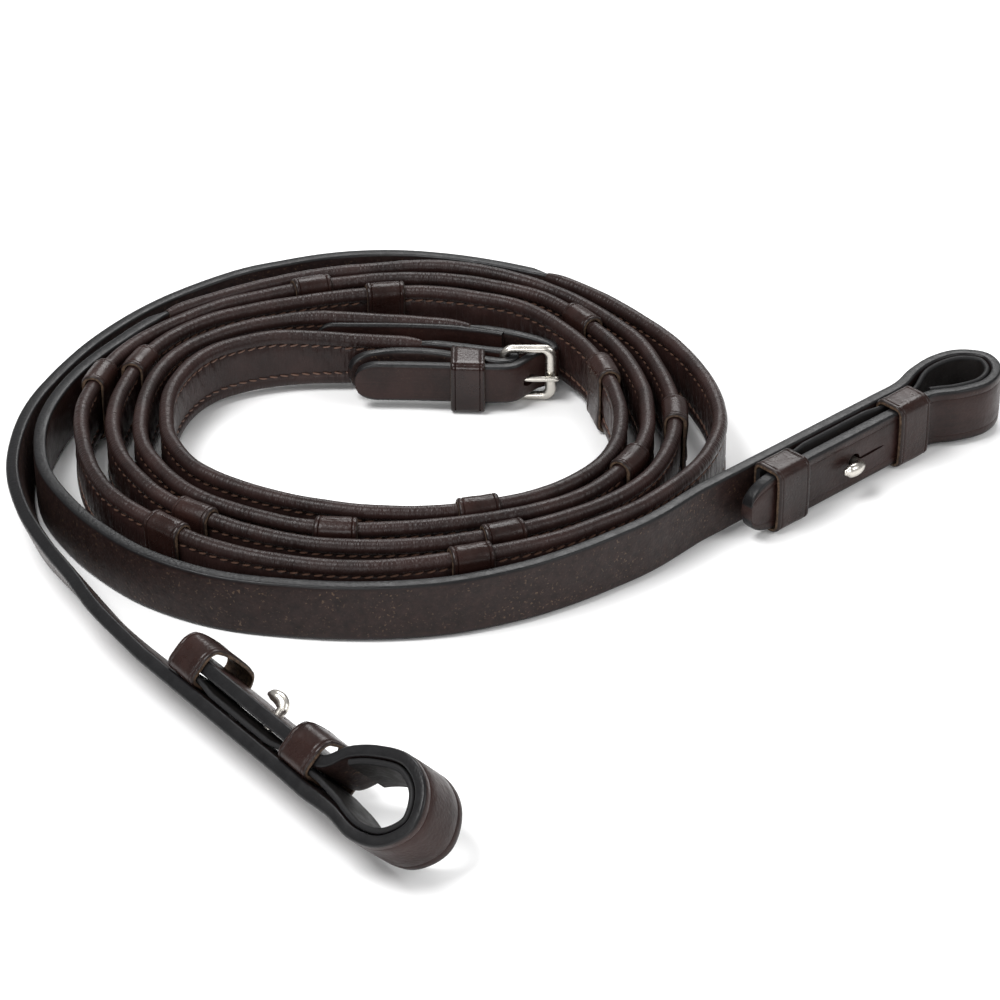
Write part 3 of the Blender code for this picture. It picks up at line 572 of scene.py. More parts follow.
def strap_section(width, thickness, groove=0.0, crown=0.12 * MM):
    """A strap's rounded section at each station: points (across, up), and how edge-like each is.

    groove is the depth of the creased lines on the face at -across or +across, by its sign."""
    width = np.atleast_1d(width)[:, None]
    half = width / 2
    thick = np.broadcast_to(np.atleast_1d(thickness)[:, None] / 2, half.shape)
    depth = np.broadcast_to(np.atleast_1d(groove)[:, None], half.shape)
    radius = np.minimum(CORNER_RADIUS, 0.3 * half)
    nominal = half.max()
    marks = FACE_MARKS / nominal
    arc = np.radians([0, 30, 60, 90])
    across, up, rim, near = [], [], [], []

    def corner(side, top, order):
        for a in arc[::order]:
            across.append(side * (thick - radius + radius * math.sin(a)))
            up.append(top * (half - radius + radius * math.cos(a)))
            rim.append(1.0 if math.degrees(a) < 75 else 0.45)
            near.append(1.0)

    def face(side, down):
        shares = [(1 - q) for q in marks] + [0.0] + [-(1 - q) for q in marks[::-1]]
        for share in shares[::1 if down else -1]:
            from_edge = (1 - abs(share)) * nominal
            dip = np.where(np.sign(depth) == side, abs(depth), 0.0)
            dip = dip * math.exp(-((from_edge - FACE_MARKS[2]) / (0.3 * MM)) ** 2)
            bulge = crown * (1 - share ** 4)
            across.append(side * (thick + bulge - dip))
            up.append(share * half)
            rim.append(0.0)
            near.append(math.exp(-max(from_edge - 0.9 * MM, 0) / (1.1 * MM)))

    corner(1, 1, 1)
    face(1, True)
    corner(1, -1, -1)
    corner(-1, -1, 1)
    face(-1, False)
    corner(-1, 1, -1)
    shape = (len(width), len(across))
    across = np.stack([np.broadcast_to(a, half.shape)[:, 0] for a in across], 1)
    up = np.stack([np.broadcast_to(u, half.shape)[:, 0] for u in up], 1)
    rim = np.broadcast_to(np.array(rim), shape).copy()
    near = np.broadcast_to(np.array(near), shape).copy()
    return across, up, rim, near


def round_offsets(across, up):
    """The distance of each section point round the section, from its middle station."""
    k = len(across) // 2
    points = np.stack([across[k], up[k]], -1)
    return np.concatenate([[0.0], np.cumsum(np.linalg.norm(np.diff(points, axis=0), axis=1))])


ROLL = 2.25 * MM
SEAM_INSET = 4.2 * MM
SEAM_HALF = 1.5 * MM


def cover_section(width):
    """The soft cover's section: rolled edges, a sewn channel inside each, and a padded web."""
    half = np.atleast_1d(width)[:, None] / 2
    arc = [(ROLL * (1 - math.cos(a)), ROLL * math.sin(a)) for a in np.radians([22, 45, 68, 90])]
    # in millimetres: (from the edge, half thickness), down into the channel and up again
    fall = [(2.9, 2.22), (3.4, 2.02), (3.8, 1.72), (4.2, 1.5), (4.6, 1.62), (5.2, 1.84)]
    side = arc + [(inset * MM, thick * MM) for inset, thick in fall]
    # (share of the web's half width, half thickness)
    web = [(0.62, 1.92), (0.3, 1.97), (0.0, 1.97)]
    inner_half = half - 5.2 * MM
    ups = [half - inset for inset, _ in side] + [inner_half * share for share, _ in web]
    thicks = [thick for _, thick in side] + [thick * MM for _, thick in web]
    across, up = [0 * half], [half]
    for u, t in zip(ups, thicks):
        across.append(t + 0 * half)
        up.append(u)
    for u, t in list(zip(ups, thicks))[-2::-1]:
        across.append(t + 0 * half)
        up.append(-u)
    count = len(across)
    across.append(0 * half)
    up.append(-half)
    for a, u in list(zip(across, up))[count - 1:0:-1]:
        across.append(-a)
        up.append(u)
    return np.concatenate(across, 1), np.concatenate(up, 1)


def rounded_loop(width, depth, radius, around=56):
    """A rounded rectangle as (across, up) points: width is its height, depth its thickness."""
    half_up, half_deep = width / 2, depth / 2
    radius = min(radius, half_up - 0.01 * MM, half_deep - 0.01 * MM)
    per = around // 4
    across, up = [], []
    for side, top, first in ((1, 1, 0), (1, -1, 90), (-1, -1, 180), (-1, 1, 270)):
        for step in range(per // 2 + 1):
            a = math.radians(first + 90 * step / (per // 2))
            across.append(side * (half_deep - radius) + radius * math.sin(a))
            up.append(top * (half_up - radius) + radius * math.cos(a))
        flat = per - per // 2 - 1
        for step in range(flat):
            share = (step + 1) / (flat + 1)
            if first in (0, 180):
                across.append(across[-1] if step else side * half_deep)
                up.append(top * (half_up - radius) * (1 - 2 * share))
            else:
                across.append(side * (half_deep - radius) * (1 - 2 * share))
                up.append(up[-1] if step else top * half_up)
    return np.array(across), np.array(up)


# ---- bit ends and reins

class BitEnd:
    """The straight, doubled end of a rein and the loop that holds the bit ring."""

    def __init__(self, side, origin, heading, lean, slit, loop, keepers, stud, tip):
        self.side = side
        self.lean = math.radians(lean)
        self.return_offset = LINING_FACE + slit
        self.depth = self.return_offset + PLAIN_THICKNESS
        self.loop = loop
        self.keepers, self.keeper_length, self.keeper_slack = keepers
        self.stud, self.tip = stud, tip
        heading = math.radians(heading)
        self.along = np.array([math.cos(heading), math.sin(heading), 0.0])
        level = np.array([self.along[1], -self.along[0], 0.0])
        # the two loops turn to opposite sides of their straps
        self.turn = 1.0 if side == "right" else -1.0
        self.inward = self.turn * level * math.cos(self.lean) + UP * math.sin(self.lean)
        self.upward = UP * math.cos(self.lean) - self.turn * level * math.sin(self.lean)
        rise = max(KEEPER_WIDTH / 2 * math.cos(self.lean) - KEEPER_OFFSET * math.sin(self.lean),
                   BIT_END_WIDTH / 2 * math.cos(self.lean) + 0.6 * MM * math.sin(self.lean))
        self.base = np.append(in_plan([origin])[0], rise)
        self.flat = Route(self.flat_line())

    def point(self, along, inward, upward=0.0):
        """A place measured from the loop's throat, on the strap's far face."""
        return self.base + self.along * along + self.inward * inward + self.upward * upward

    def flat_line(self):
        """The strap's centre line, past the stud, round the loop and back to its tip."""
        length, width, start = self.loop
        far, near = PLAIN_THICKNESS / 2, self.return_offset + PLAIN_THICKNESS / 2
        spots = [(self.tip - 6 * MM, far), (-55 * MM, far), (-30 * MM, far), (-12 * MM, far)]
        spots += [(0.0, far - 0.2 * MM)]
        spots += [(share_along * length, start + share_in * width)
                  for share_along, share_in in LOOP_SHAPE]
        self.throat = spots[-1]
        spots += [(-2 * MM, near), (-14 * MM, near), (-30 * MM, near), (-55 * MM, near)]
        return smooth_line(spots + [(self.tip, near)])

    def distance(self, along, returning=False):
        """How far along the flat line the strap reaches a place on its way out or back."""
        half = (0.5, 1.0) if returning else (0.0, 0.5)
        depth = self.return_offset + PLAIN_THICKNESS / 2 if returning else PLAIN_THICKNESS / 2
        return self.flat.nearest((along, depth), *half)

    def rows(self, distances, across, up, offset=0.0):
        """Rings of section points along the flat line, moved towards the inside."""
        way = self.flat.direction(distances)
        side = self.turn * (way[:, :1] * self.inward - way[:, 1:] * self.along)
        spot = self.flat.at(distances)
        middle = self.base + spot[:, :1] * self.along + spot[:, 1:] * self.inward
        middle = middle + side * np.reshape(offset, (-1, 1)) * self.turn
        return (middle[:, None] + side[:, None] * across[..., None]
                + self.upward * up[..., None])

    def loop_share(self, distance):
        """0 in the straight stack, 1 round the loop."""
        start, finish = self.distance(1 * MM), self.distance(-6 * MM, returning=True)
        return values_along([(start, 0), (start + 12 * MM, 1), (finish - 9 * MM, 1),
                             (finish, 0)])(distance)

    def strap_thickness(self, distance):
        """The strap is thinned where it turns round the loop."""
        return PLAIN_THICKNESS + (LOOP_THICKNESS - PLAIN_THICKNESS) * self.loop_share(distance)


class Rein:
    """One rein: its route, its width, thickness, height and lean, and where its cover lies."""

    def __init__(self, end, route, stops, cover_ends, cover_share):
        self.end = end
        self.route = route
        low, high = cover_share
        self.cover_start = route.nearest(in_plan([cover_ends[0]])[0], low, 0.5)
        self.cover_end = route.nearest(in_plan([cover_ends[1]])[0], 0.5, high)
        self.stops = self.find_stops(in_plan(stops))
        length, start, finish = route.length, self.cover_start, self.cover_end
        core_thickness = COVER_THICKNESS - 2 * (COVER_WALL + COVER_GAP)
        core_width = COVER_WIDTH - 2 * (COVER_WALL + COVER_GAP)
        self.cover_width = values_along([
            (start, COVER_END_WIDTH), (start + COVER_TAPER, COVER_WIDTH)])
        self.width = values_along([
            (start, BUCKLE_END_WIDTH), (start + COVER_TAPER, core_width), (finish, core_width),
            (finish + 5 * MM, PLAIN_WIDTH), (length - 60 * MM, PLAIN_WIDTH),
            (length, BIT_END_WIDTH)])
        self.thickness = values_along([
            (start - 5 * MM, BUCKLE_END_THICKNESS), (start - 1 * MM, core_thickness),
            (finish + 1 * MM, core_thickness), (finish + 6 * MM, PLAIN_THICKNESS)])
        end_lift = end.point(0, PLAIN_THICKNESS / 2)[2] - self.half_rise(BIT_END_WIDTH, end.lean)
        self.lift = values_along([
            (start - 10 * MM, BUCKLE_HEIGHT - BUCKLE_END_WIDTH / 2),
            (start + 70 * MM, COVER_HEIGHT - core_width / 2),
            (finish, COVER_HEIGHT - core_width / 2),
            (finish + 90 * MM, 0.0), (length - END_TURN, 0.0), (length, end_lift)])
        self.lean = values_along([(length - END_TURN, 0.0), (length, end.lean)])

    @staticmethod
    def half_rise(width, lean):
        """How far a leaning strap's centre stands above its lowest corner."""
        return width / 2 * np.cos(lean) + PLAIN_THICKNESS / 2 * np.sin(lean)

    def height(self, distance):
        """How high the strap's centre line is: its own half width, and its lift."""
        return self.half_rise(self.width(distance), self.lean(distance)) + self.lift(distance)

    def find_stops(self, spots):
        """Distances of the hand stops, each found further along than the last one."""
        found = []
        low = self.cover_start / self.route.length
        for spot in spots:
            high = min(low + 0.16, 1.0)
            found.append(self.route.nearest(spot, low, high))
            low = (found[-1] + 60 * MM) / self.route.length
        return found

    def frame_at(self, distances):
        """The centre, across, upward and forward directions at distances along the rein."""
        way = self.route.direction(distances)
        lean = np.reshape(self.lean(distances), (-1, 1))
        level = np.stack([way[:, 1], -way[:, 0], 0 * way[:, 0]], -1)
        side = level * np.cos(lean) - UP * np.sin(lean)
        upward = level * np.sin(lean) + UP * np.cos(lean)
        centre = np.concatenate([self.route.at(distances)[:, :2],
                                 np.reshape(self.height(distances), (-1, 1))], -1)
        return centre, side, upward, np.concatenate([way[:, :2], 0 * way[:, :1]], -1)

    def rows(self, distances, across, up, offset=0.0):
        """Rings of section points along the rein."""
        centre, side, upward, _ = self.frame_at(distances)
        centre = centre + side * np.reshape(offset, (-1, 1))
        return (centre[:, None] + side[:, None] * across[..., None]
                + upward[:, None] * up[..., None])


# ---- stitches

# A stitch's rings: place along it and thickness, as shares of its half length and radius
STITCH_RINGS = [(-1.0, 0.25), (-0.72, 0.8), (0.0, 1.0), (0.72, 0.8), (1.0, 0.25)]


def stitches(name, centres, ways, normals, length, radius, slot):
    """Many small stitches in one piece: each a spindle along its way, lifted on its normal."""
    centres, ways, normals = (np.asarray(x, float) for x in (centres, ways, normals))
    ways = ways / np.linalg.norm(ways, axis=1, keepdims=True)
    sides = np.cross(normals, ways)
    sides /= np.linalg.norm(sides, axis=1, keepdims=True)
    angles = np.radians([45, 135, 225, 315])
    vertices, faces = [], []
    for share, fat in STITCH_RINGS:
        arch = normals * (radius * 0.45 * (1 - share ** 2))
        for a in angles:
            vertices.append(centres + ways * length / 2 * share + arch
                            + sides * radius * fat * math.cos(a)
                            + normals * radius * fat * math.sin(a))
    around, rings, count = len(angles), len(STITCH_RINGS), len(centres)
    vertices = np.stack(vertices, 1).reshape(-1, 3)
    one = [tuple(f) for f in grid_faces(rings, around)]
    one += [tuple(range(around)), tuple(range((rings - 1) * around, rings * around))]
    for k in range(count):
        faces += [tuple(c + k * rings * around for c in f) for f in one]
    return new_piece(name, vertices, faces, THREAD, slot=slot, sharp=80)


# ---- pegs that cut holes

def peg(centre, along, upward, length, half_side, half_up):
    """A round-ended peg lying along a direction, to cut a hole with."""
    builder = bmesh.new()
    bmesh.ops.create_cone(builder, cap_ends=True, segments=32, radius1=1.0, radius2=1.0, depth=1.0)
    side = Vector(upward).cross(Vector(along))
    turn = Matrix((side * half_side, Vector(upward) * half_up, Vector(along) * length))
    turn = turn.transposed()
    bmesh.ops.transform(builder, matrix=Matrix.Translation(Vector(centre)) @ turn.to_4x4(),
                        verts=builder.verts)
    bmesh.ops.recalc_face_normals(builder, faces=builder.faces)
    mesh = bpy.data.meshes.new("peg")
    builder.to_mesh(mesh)
    builder.free()
    thing = bpy.data.objects.new("peg", mesh)
    bpy.context.scene.collection.objects.link(thing)
    return thing


def carve(thing, pegs):
    """Cut the pegs out of a piece, for good."""
    for cutter in pegs:
        hole = thing.modifiers.new("hole", "BOOLEAN")
        hole.operation = "DIFFERENCE"
        hole.solver = "EXACT"
        hole.object = cutter
    shape = thing.evaluated_get(bpy.context.evaluated_depsgraph_get())
    carved = bpy.data.meshes.new_from_object(shape)
    carved.name = thing.name
    thing.modifiers.clear()
    thing.data = carved
    for cutter in pegs:
        bpy.data.objects.remove(cutter, do_unlink=True)


# ---- strap, cover and stops

CREASE = 0.2 * MM
STRAP_WAVES = (0.021, 0.034, 0.057)
STRAP_WAVE_HEIGHT = 0.10 * MM
COVER_FOLDS = (0.0031, 0.0044, 0.0026, 0.0063)
COVER_SWELLS = (0.013, 0.022, 0.031)
COVER_END_DRAW = 0.7 * MM
STITCH_PITCH = 3.4 * MM
STITCH_LENGTH = 2.6 * MM
COVER_THREAD_RADIUS = 0.33 * MM
STOP_THREAD_RADIUS = 0.24 * MM
BAND_STEP = 3 * MM
STOP_CORNER = 3.4 * MM
STOP_WAIST = 0.45 * MM
STOP_LAP = 0.32 * MM
STOP_SEAM = 4.9 * MM


def strap_row_parts(rein):
    """The strap's rings, distances and stored values from buckle-end tip to bit-end tip."""
    end, route = rein.end, rein.route
    start, finish = rein.cover_start, rein.cover_end
    marks = [spaced(0.0, 8 * MM, 0.7 * MM), spaced(8 * MM, start - 6 * MM, 1.2 * MM)[1:],
             spaced(start - 5 * MM, start - 1 * MM, 1.3 * MM),
             spaced(start, finish, 4 * MM), spaced(finish + 1 * MM, finish + 6 * MM, 1.6 * MM),
             spaced(finish + 8 * MM, route.length, 1.6 * MM)]
    distances = np.concatenate(marks)
    width = rein.width(distances) * tip_share(distances, BUCKLE_TIP_REACH)
    across, up, rim, near = strap_section(width, rein.thickness(distances))
    rows = rein.rows(distances, across, up)
    length = end.flat.length
    more = np.concatenate([spaced(0.0, length - 14 * MM, 1.1 * MM)[1:],
                           spaced(length - 13 * MM, length, 0.6 * MM)])
    width = BIT_END_WIDTH * tip_share(length - more, BIT_TIP_REACH)
    ramp = np.clip((more - end.distance(-20 * MM)) / (12 * MM), 0, 1)
    across2, up2, rim2, near2 = strap_section(width, end.strap_thickness(more),
                                              -end.turn * CREASE * ramp)
    rows2 = end.rows(more, across2, up2)
    all_rows = np.vstack([rows, rows2])
    along = np.concatenate([distances, route.length + more])
    offsets = round_offsets(across, up)
    values = {"rim": np.vstack([rim, rim2]), "edge_tone_and_seam_shade": np.vstack([near, near2])}
    flesh_side = np.sign(np.vstack([across, across2])) == end.turn
    values["flesh"] = np.where(flesh_side & (values["rim"] < 0.3), 1.0, 0.0)
    centres = np.vstack([rein.frame_at(distances)[0],
                         end.rows(more, np.zeros((len(more), 1)), np.zeros((len(more), 1)))[:, 0]])
    return all_rows, along, offsets, values, centres


def build_strap(rein):
    """The whole strap, and its centre line."""
    rows, along, offsets, values, centres = strap_row_parts(rein)
    seed = 5 if rein.end.side == "right" else 6
    wave = ripple(along[:, None], np.asarray(offsets)[None, :], seed, STRAP_WAVES)
    fade = np.minimum(1.0, from_ends(along) / (10 * MM))[:, None]
    rows = rows + outward(rows) * (wave * fade * (1 - values["rim"])
                                     * STRAP_WAVE_HEIGHT)[..., None]
    piece = sweep(f"{rein.end.side}_strap_leather", rows, STRAP, along, offsets, values,
                  node=f"{rein.end.side}_rein_strap", slot="strap_leather")
    return piece, centres


def build_cover(rein):
    """The soft cover with rolled edges, sewn channels and wrinkles across its web."""
    side = rein.end.side
    distances = spaced(rein.cover_start, rein.cover_end, 1.0 * MM)
    across, up = cover_section(rein.cover_width(distances))
    offsets = round_offsets(across, up)
    rows = rein.rows(distances, across, up)
    half = up.max(axis=1, keepdims=True)
    from_edge = half - abs(up)
    web = np.clip((from_edge - 4.6 * MM) / (1.2 * MM), 0, 1)
    roll = np.clip((3.2 * MM - from_edge) / (1.5 * MM), 0, 1)
    u, v = distances[:, None], np.asarray(offsets)[None, :]
    folds = ripple(u, v, 11 if side == "right" else 12, COVER_FOLDS)
    swell = ripple(u, v, 21 if side == "right" else 22, COVER_SWELLS)
    inner_face = np.where(across < 0, 1.0, 0.6)
    gather = np.clip((from_edge - 3.2 * MM) / (1.0 * MM), 0, 1) * (1 - web)
    puckers = np.sin(u / STITCH_PITCH * 2 * math.pi) * gather
    lift = (folds * web * inner_face * 0.42 + swell * web * 0.12 + swell * roll * 0.07
            + puckers * 0.12) * MM
    from_end = from_ends(distances)
    fade = np.minimum(1.0, from_end / (4 * MM))[:, None]
    end_draw = COVER_END_DRAW * (1 - np.clip(from_end / (7 * MM), 0, 1)) ** 2
    rows = rows + outward(rows) * (lift * fade - end_draw[:, None])[..., None]
    inner_marks = spaced(rein.cover_start, rein.cover_end, 4 * MM)
    a, b = cover_section(rein.cover_width(inner_marks))
    inner_half = rein.cover_width(inner_marks) / 2
    inner = rein.rows(inner_marks, np.clip(a, -1.12 * MM, 1.12 * MM),
                      b * ((inner_half - COVER_WALL) / inner_half)[:, None])
    # painted shade: the leather is drawn darker along the bottom of each sewn channel
    seam_shade = np.exp(-((from_edge - SEAM_INSET) / (0.5 * MM)) ** 2)
    values = {"edge_tone_and_seam_shade": seam_shade * 0.85, "rim": 0 * seam_shade, "cut": 0 * seam_shade}
    tube(f"{side}_cover_leather", rows, inner, SOFT, distances, offsets, values,
         node=f"{side}_soft_cover", slot="soft_leather")
    sew_cover(rein)


def sew_cover(rein):
    """A line of stitches in each sewn channel of the cover, on both faces."""
    places, ways, normals = [], [], []
    marks = spaced(rein.cover_start + 2 * MM, rein.cover_end - 2 * MM, STITCH_PITCH)
    clear = np.min([abs(marks - stop) for stop in rein.stops], axis=0) > STOP_LENGTH / 2 + 0.6 * MM
    marks = marks[clear]
    centre, side, upward, forward = rein.frame_at(marks)
    half = rein.cover_width(marks)[:, None] / 2
    for face in (1, -1):
        for line in (1, -1):
            places.append(centre + side * face * (SEAM_HALF + 0.10 * MM)
                          + upward * line * (half - SEAM_INSET))
            ways.append(forward + upward * 0.22 * face * line)
            normals.append(side * face)
    stitches(f"{rein.end.side}_cover_stitching", np.vstack(places), np.vstack(ways),
             np.vstack(normals), STITCH_LENGTH, COVER_THREAD_RADIUS, slot="soft_leather")


# How a band's face rises and dips near its cut edge: (from the edge, lift), in millimetres
RIM_PROFILE = [(0.0, -0.55), (0.12, -0.25), (0.4, -0.04), (0.8, 0.05), (1.2, 0.02), (1.45, -0.22),
               (1.7, 0.0), (2.3, 0.02)]


def band_profile(length, belly=0.0):
    """Stations across a leather band from edge to edge, and how far each stands proud."""
    half = length / 2 / MM
    edge = [(-half + s, lift) for s, lift in RIM_PROFILE]
    middle = [(s, belly) for s in (-half * 0.45, -half * 0.15, half * 0.15, half * 0.45)]
    run = edge + middle + [(-s, lift) for s, lift in edge[::-1]]
    return np.array([s for s, _ in run]) * MM, np.array([lift for _, lift in run]) * MM


def band_values(stations, around):
    """Stored values for a band: painted rims, and rough cut leather inside its ends."""
    from_edge = from_ends(stations)[:, None]
    rim = np.clip(1.2 - from_edge / (0.45 * MM), 0, 1) * 0.85 + np.zeros((1, around))
    near = np.exp(-from_edge / (1.4 * MM)) + np.zeros((1, around))
    cut = np.clip(1.0 - from_edge / (0.13 * MM), 0, 1) + np.zeros((1, around))
    return {"rim": rim * (1 - cut), "edge_tone_and_seam_shade": near, "cut": cut}


def build_stops(rein):
    """Short leather bands round the covered strap, lapped and sewn on their outer face."""
    side = rein.end.side
    spots, ways, normals = [], [], []
    for number, middle in enumerate(rein.stops, start=1):
        stations, lifts = band_profile(STOP_LENGTH, 0.03)
        seed = number + (20 if side == "left" else 0)
        draw = np.random.default_rng(40 + seed)
        outer_a, outer_u = [], []
        for lift in lifts:
            a, u = rounded_loop(STOP_WIDTH - 0.5 * MM + 2 * lift,
                                STOP_THICKNESS - 0.7 * MM + 2 * lift, STOP_CORNER)
            waist = np.clip(1 - abs(u) / (7.5 * MM), 0, 1) * STOP_WAIST
            a = a - np.sign(a) * waist
            lap = STOP_LAP / (1 + np.exp(-(u + 4.6 * MM) / (0.12 * MM)))
            a = a + np.where(a > 2.4 * MM, lap, 0.0)
            outer_a.append(a)
            outer_u.append(u)
        outer_a, outer_u = np.array(outer_a), np.array(outer_u)
        inner_a, inner_u = rounded_loop(COVER_WIDTH + 2 * GAP, 2 * ROLL + 0.55 * MM, 2.4 * MM)
        inner_marks = spaced(stations[0], stations[-1], BAND_STEP)
        shape = (len(inner_marks), 1)
        outer = rein.rows(middle + stations, outer_a, outer_u)
        offsets = round_offsets(outer_a, outer_u)
        dents = ripple(stations[:, None], np.asarray(offsets)[None, :],
                       60 + seed, (0.006, 0.010, 0.017))
        outer = outer + outward(outer) * (dents * 0.09 * MM)[..., None]
        inner = rein.rows(middle + inner_marks, np.tile(inner_a, shape), np.tile(inner_u, shape))
        values = band_values(stations, outer.shape[1])
        tube(f"{side}_stop_band_{number}", outer, inner, TRIM, middle + stations, offsets, values,
             node=f"{side}_hand_stop_{number}", slot="trim_leather")
        marks = middle + np.linspace(-3.6, 3.6, 4) * MM
        centre, across, upward, forward = rein.frame_at(marks)
        face = STOP_THICKNESS / 2 - 0.48 * MM
        for slant in (1, -1):
            spots.append(centre + across * (face + (0.1 + 0.12 * (slant > 0)) * MM)
                         - upward * STOP_SEAM)
            ways.append(upward + forward * (0.55 * slant + draw.uniform(-0.1, 0.1)))
            normals.append(across)
    stitches(f"{side}_stop_stitching", np.vstack(spots), np.vstack(ways), np.vstack(normals),
             STITCH_LENGTH, STOP_THREAD_RADIUS, slot="trim_leather")


# ---- bit-end pieces

LINING_DRAW = 1.3


def lining_dip(end, distances):
    """How far the lining's sewn edges are drawn to the strap, between the two keepers."""
    loop_keeper, tip_keeper = end.keepers
    inner_edge = tip_keeper + end.keeper_length
    spots = [(inner_edge, 0), (inner_edge + 7 * MM, LINING_DRAW),
             (loop_keeper - 6 * MM, LINING_DRAW), (loop_keeper, 0)]
    return values_along([(end.distance(along), dip * MM) for along, dip in spots])(distances)


def build_lining(end):
    """The lining inside the loop, running back along the stack."""
    start = end.distance(end.tip + 9 * MM)
    finish = end.flat.nearest(end.throat)
    distances = spaced(start, finish, 1.2 * MM)
    share = end.loop_share(distances)
    thickness = LINING_THICKNESS + (LOOP_LINING_THICKNESS - LINING_THICKNESS) * share
    gap = GAP + (LINING_OFFSET - PLAIN_THICKNESS - GAP) * (1 - share)
    offset = end.strap_thickness(distances) / 2 + gap + thickness / 2
    width = np.full(len(distances), BIT_END_WIDTH - 0.4 * MM)
    across, up, rim, near = strap_section(width, thickness - 0.1 * MM, crown=0.0)
    drawn = lining_dip(end, distances)[:, None] * (abs(up) / up.max()) ** 2
    across = across - end.turn * drawn
    rows = end.rows(distances, across, up, offset)
    return sweep(f"{end.side}_loop_lining_leather", rows, LINING, distances,
                 round_offsets(across, up), {"rim": rim, "edge_tone_and_seam_shade": near},
                 node=f"{end.side}_bit_loop_lining", slot="lining_leather")


KEEPER_CORNER = 2.6 * MM
CENTRE_KEEPER_CORNER = 2.2 * MM
INNER_CORNER = 0.6 * MM


def build_band(name, surface, length, ring, outline, seed=None, **facts):
    """A leather band whose rings come from ring(station, how far proud, how far in)."""
    stations, lifts = band_profile(length)
    outer = np.array([ring(s, lift, 0.0) for s, lift in zip(stations, lifts)])
    a, u = rounded_loop(*outline)
    offsets = np.concatenate([[0.0], np.cumsum(np.hypot(np.diff(a), np.diff(u)))])
    if seed is not None:
        dents = ripple(stations[:, None], offsets[None, :], seed, (0.005, 0.009, 0.015))
        outer = outer + outward(outer) * (dents * 0.07 * MM)[..., None]
    inner = np.array([ring(s, 0.0, KEEPER_WALL - 0.05 * MM)
                      for s in spaced(stations[0], stations[-1], BAND_STEP)])
    tube(name, outer, inner, surface, stations, offsets, band_values(stations, outer.shape[1]),
         slot="trim_leather", **facts)


def build_keeper(end, name, along):
    """A leather band round the folded-back strap, sewn in between strap and lining."""
    near = end.depth + GAP + end.keeper_slack
    depth = near - KEEPER_OFFSET + KEEPER_WALL
    middle_in = (near + KEEPER_OFFSET + KEEPER_WALL) / 2
    bow = min(end.keeper_slack * 0.55, 1.1 * MM)
    centre_at = along + end.keeper_length / 2

    def ring(station, lift, wall):
        a, u = rounded_loop(KEEPER_WIDTH - 2 * wall + 2 * lift, depth - 2 * wall + 2 * lift,
                            max(KEEPER_CORNER - wall, INNER_CORNER))
        high = np.clip(abs(u) / (KEEPER_WIDTH / 2), 0, 1.05)
        a = a + np.where(a > 0, bow * (1 - high ** 2) - 1.6 * bow * high ** 6, 0.0)
        middle = end.point(centre_at + station, middle_in)
        return middle + a[:, None] * end.inward + u[:, None] * end.upward

    build_band(f"{end.side}_keeper_band_{name}", TRIM, end.keeper_length, ring,
               (KEEPER_WIDTH, depth, KEEPER_CORNER),
               seed=90 + (3 if end.side == "left" else 0) + (name == "by_tip"),
               node=f"{end.side}_bit_keeper_{name}")


# The hook stud, in millimetres. Each knot of the head is (along the rein, above the strap,
# radius, how flat), and the direction (along, in) that the head runs in there.
STUD_FOOT_RADIUS = 3.4
STUD_FOOT_THICKNESS = 1.1
STUD_POST_RADIUS = 1.4
STUD_HEAD = [
    ((0, 0.8, 1.4, 1), (0, 1)), ((-0.4, 2, 1.5, 1), (-0.4, 0.9)),
    ((-1.5, 3, 1.7, 0.85), (-0.8, 0.6)), ((-3.4, 3.4, 2.1, 0.65), (-1, 0.1)),
    ((-5.4, 3.2, 1.9, 0.6), (-1, -0.15)), ((-6.6, 2.8, 1.0, 0.6), (-1, -0.3))]


def build_stud(end):
    """The hook stud: a foot under the lining, a post and a smooth curled head."""
    foot = KEEPER_OFFSET / MM
    foot_top = foot + STUD_FOOT_THICKNESS
    top = end.depth / MM
    knots = [(0, foot_top + 0.05, STUD_POST_RADIUS, 1, 0, 1)]
    knots += [(along, top + above, radius, flatten, *way)
              for (along, above, radius, flatten), way in STUD_HEAD]
    fine = smooth_line(knots, 0.12)
    fine[:, 3] *= np.interp(fine[:, 1], [top + 0.8, top + 2.4], [1.0, 1.35])
    foot_rim = [(0, height, STUD_FOOT_RADIUS - bevel, 1, 0, 1)
                for height, bevel in ((foot, 0.25), (foot + 0.2, 0), (foot_top - 0.2, 0),
                                      (foot_top, 0.25))]
    last = fine[-1]
    nose = []
    for share in (0.35, 0.6, 0.8, 0.95):
        shrink = math.sqrt(1 - share ** 2)
        reach = last[2] * 0.8 * share
        way = last[4:] / np.linalg.norm(last[4:])
        nose.append((last[0] + way[0] * reach, last[1] + way[1] * reach, last[2] * shrink,
                     last[3], *last[4:]))
    rows = []
    angles = np.arange(20) / 20 * 2 * math.pi
    for along, inward, radius, flatten, way_along, way_in in np.vstack([foot_rim, fine, nose]):
        across = end.along * way_in - end.inward * way_along
        across = across / np.linalg.norm(across)
        middle = end.point(end.stud + along * MM, inward * MM)
        rows.append(middle + radius * MM * (np.cos(angles)[:, None] * end.upward
                                            + np.sin(angles)[:, None] * flatten * across))
    return sweep(f"{end.side}_stud_metal", np.array(rows), STEEL,
                 node=f"{end.side}_hook_stud", slot="steel")


def hole_pegs(end):
    """Pegs for the lining's post hole, and for the folded-back strap's hole and slit."""
    middle = end.point(end.stud, LINING_OFFSET + LINING_THICKNESS / 2)
    post = peg(middle, end.inward, end.upward, 4 * MM, STUD_HOLE, STUD_HOLE)
    outer = end.point(end.stud, end.return_offset + PLAIN_THICKNESS / 2)
    hole = peg(outer, end.inward, end.upward, 6 * MM, RETURN_HOLE, RETURN_HOLE)
    slit = peg(outer + end.along * SLIT_REACH / 2, end.inward, end.upward, 6.5 * MM,
               SLIT_REACH / 2, SLIT_WIDTH / 2)
    return post, [hole, slit]


# ---- centre buckle

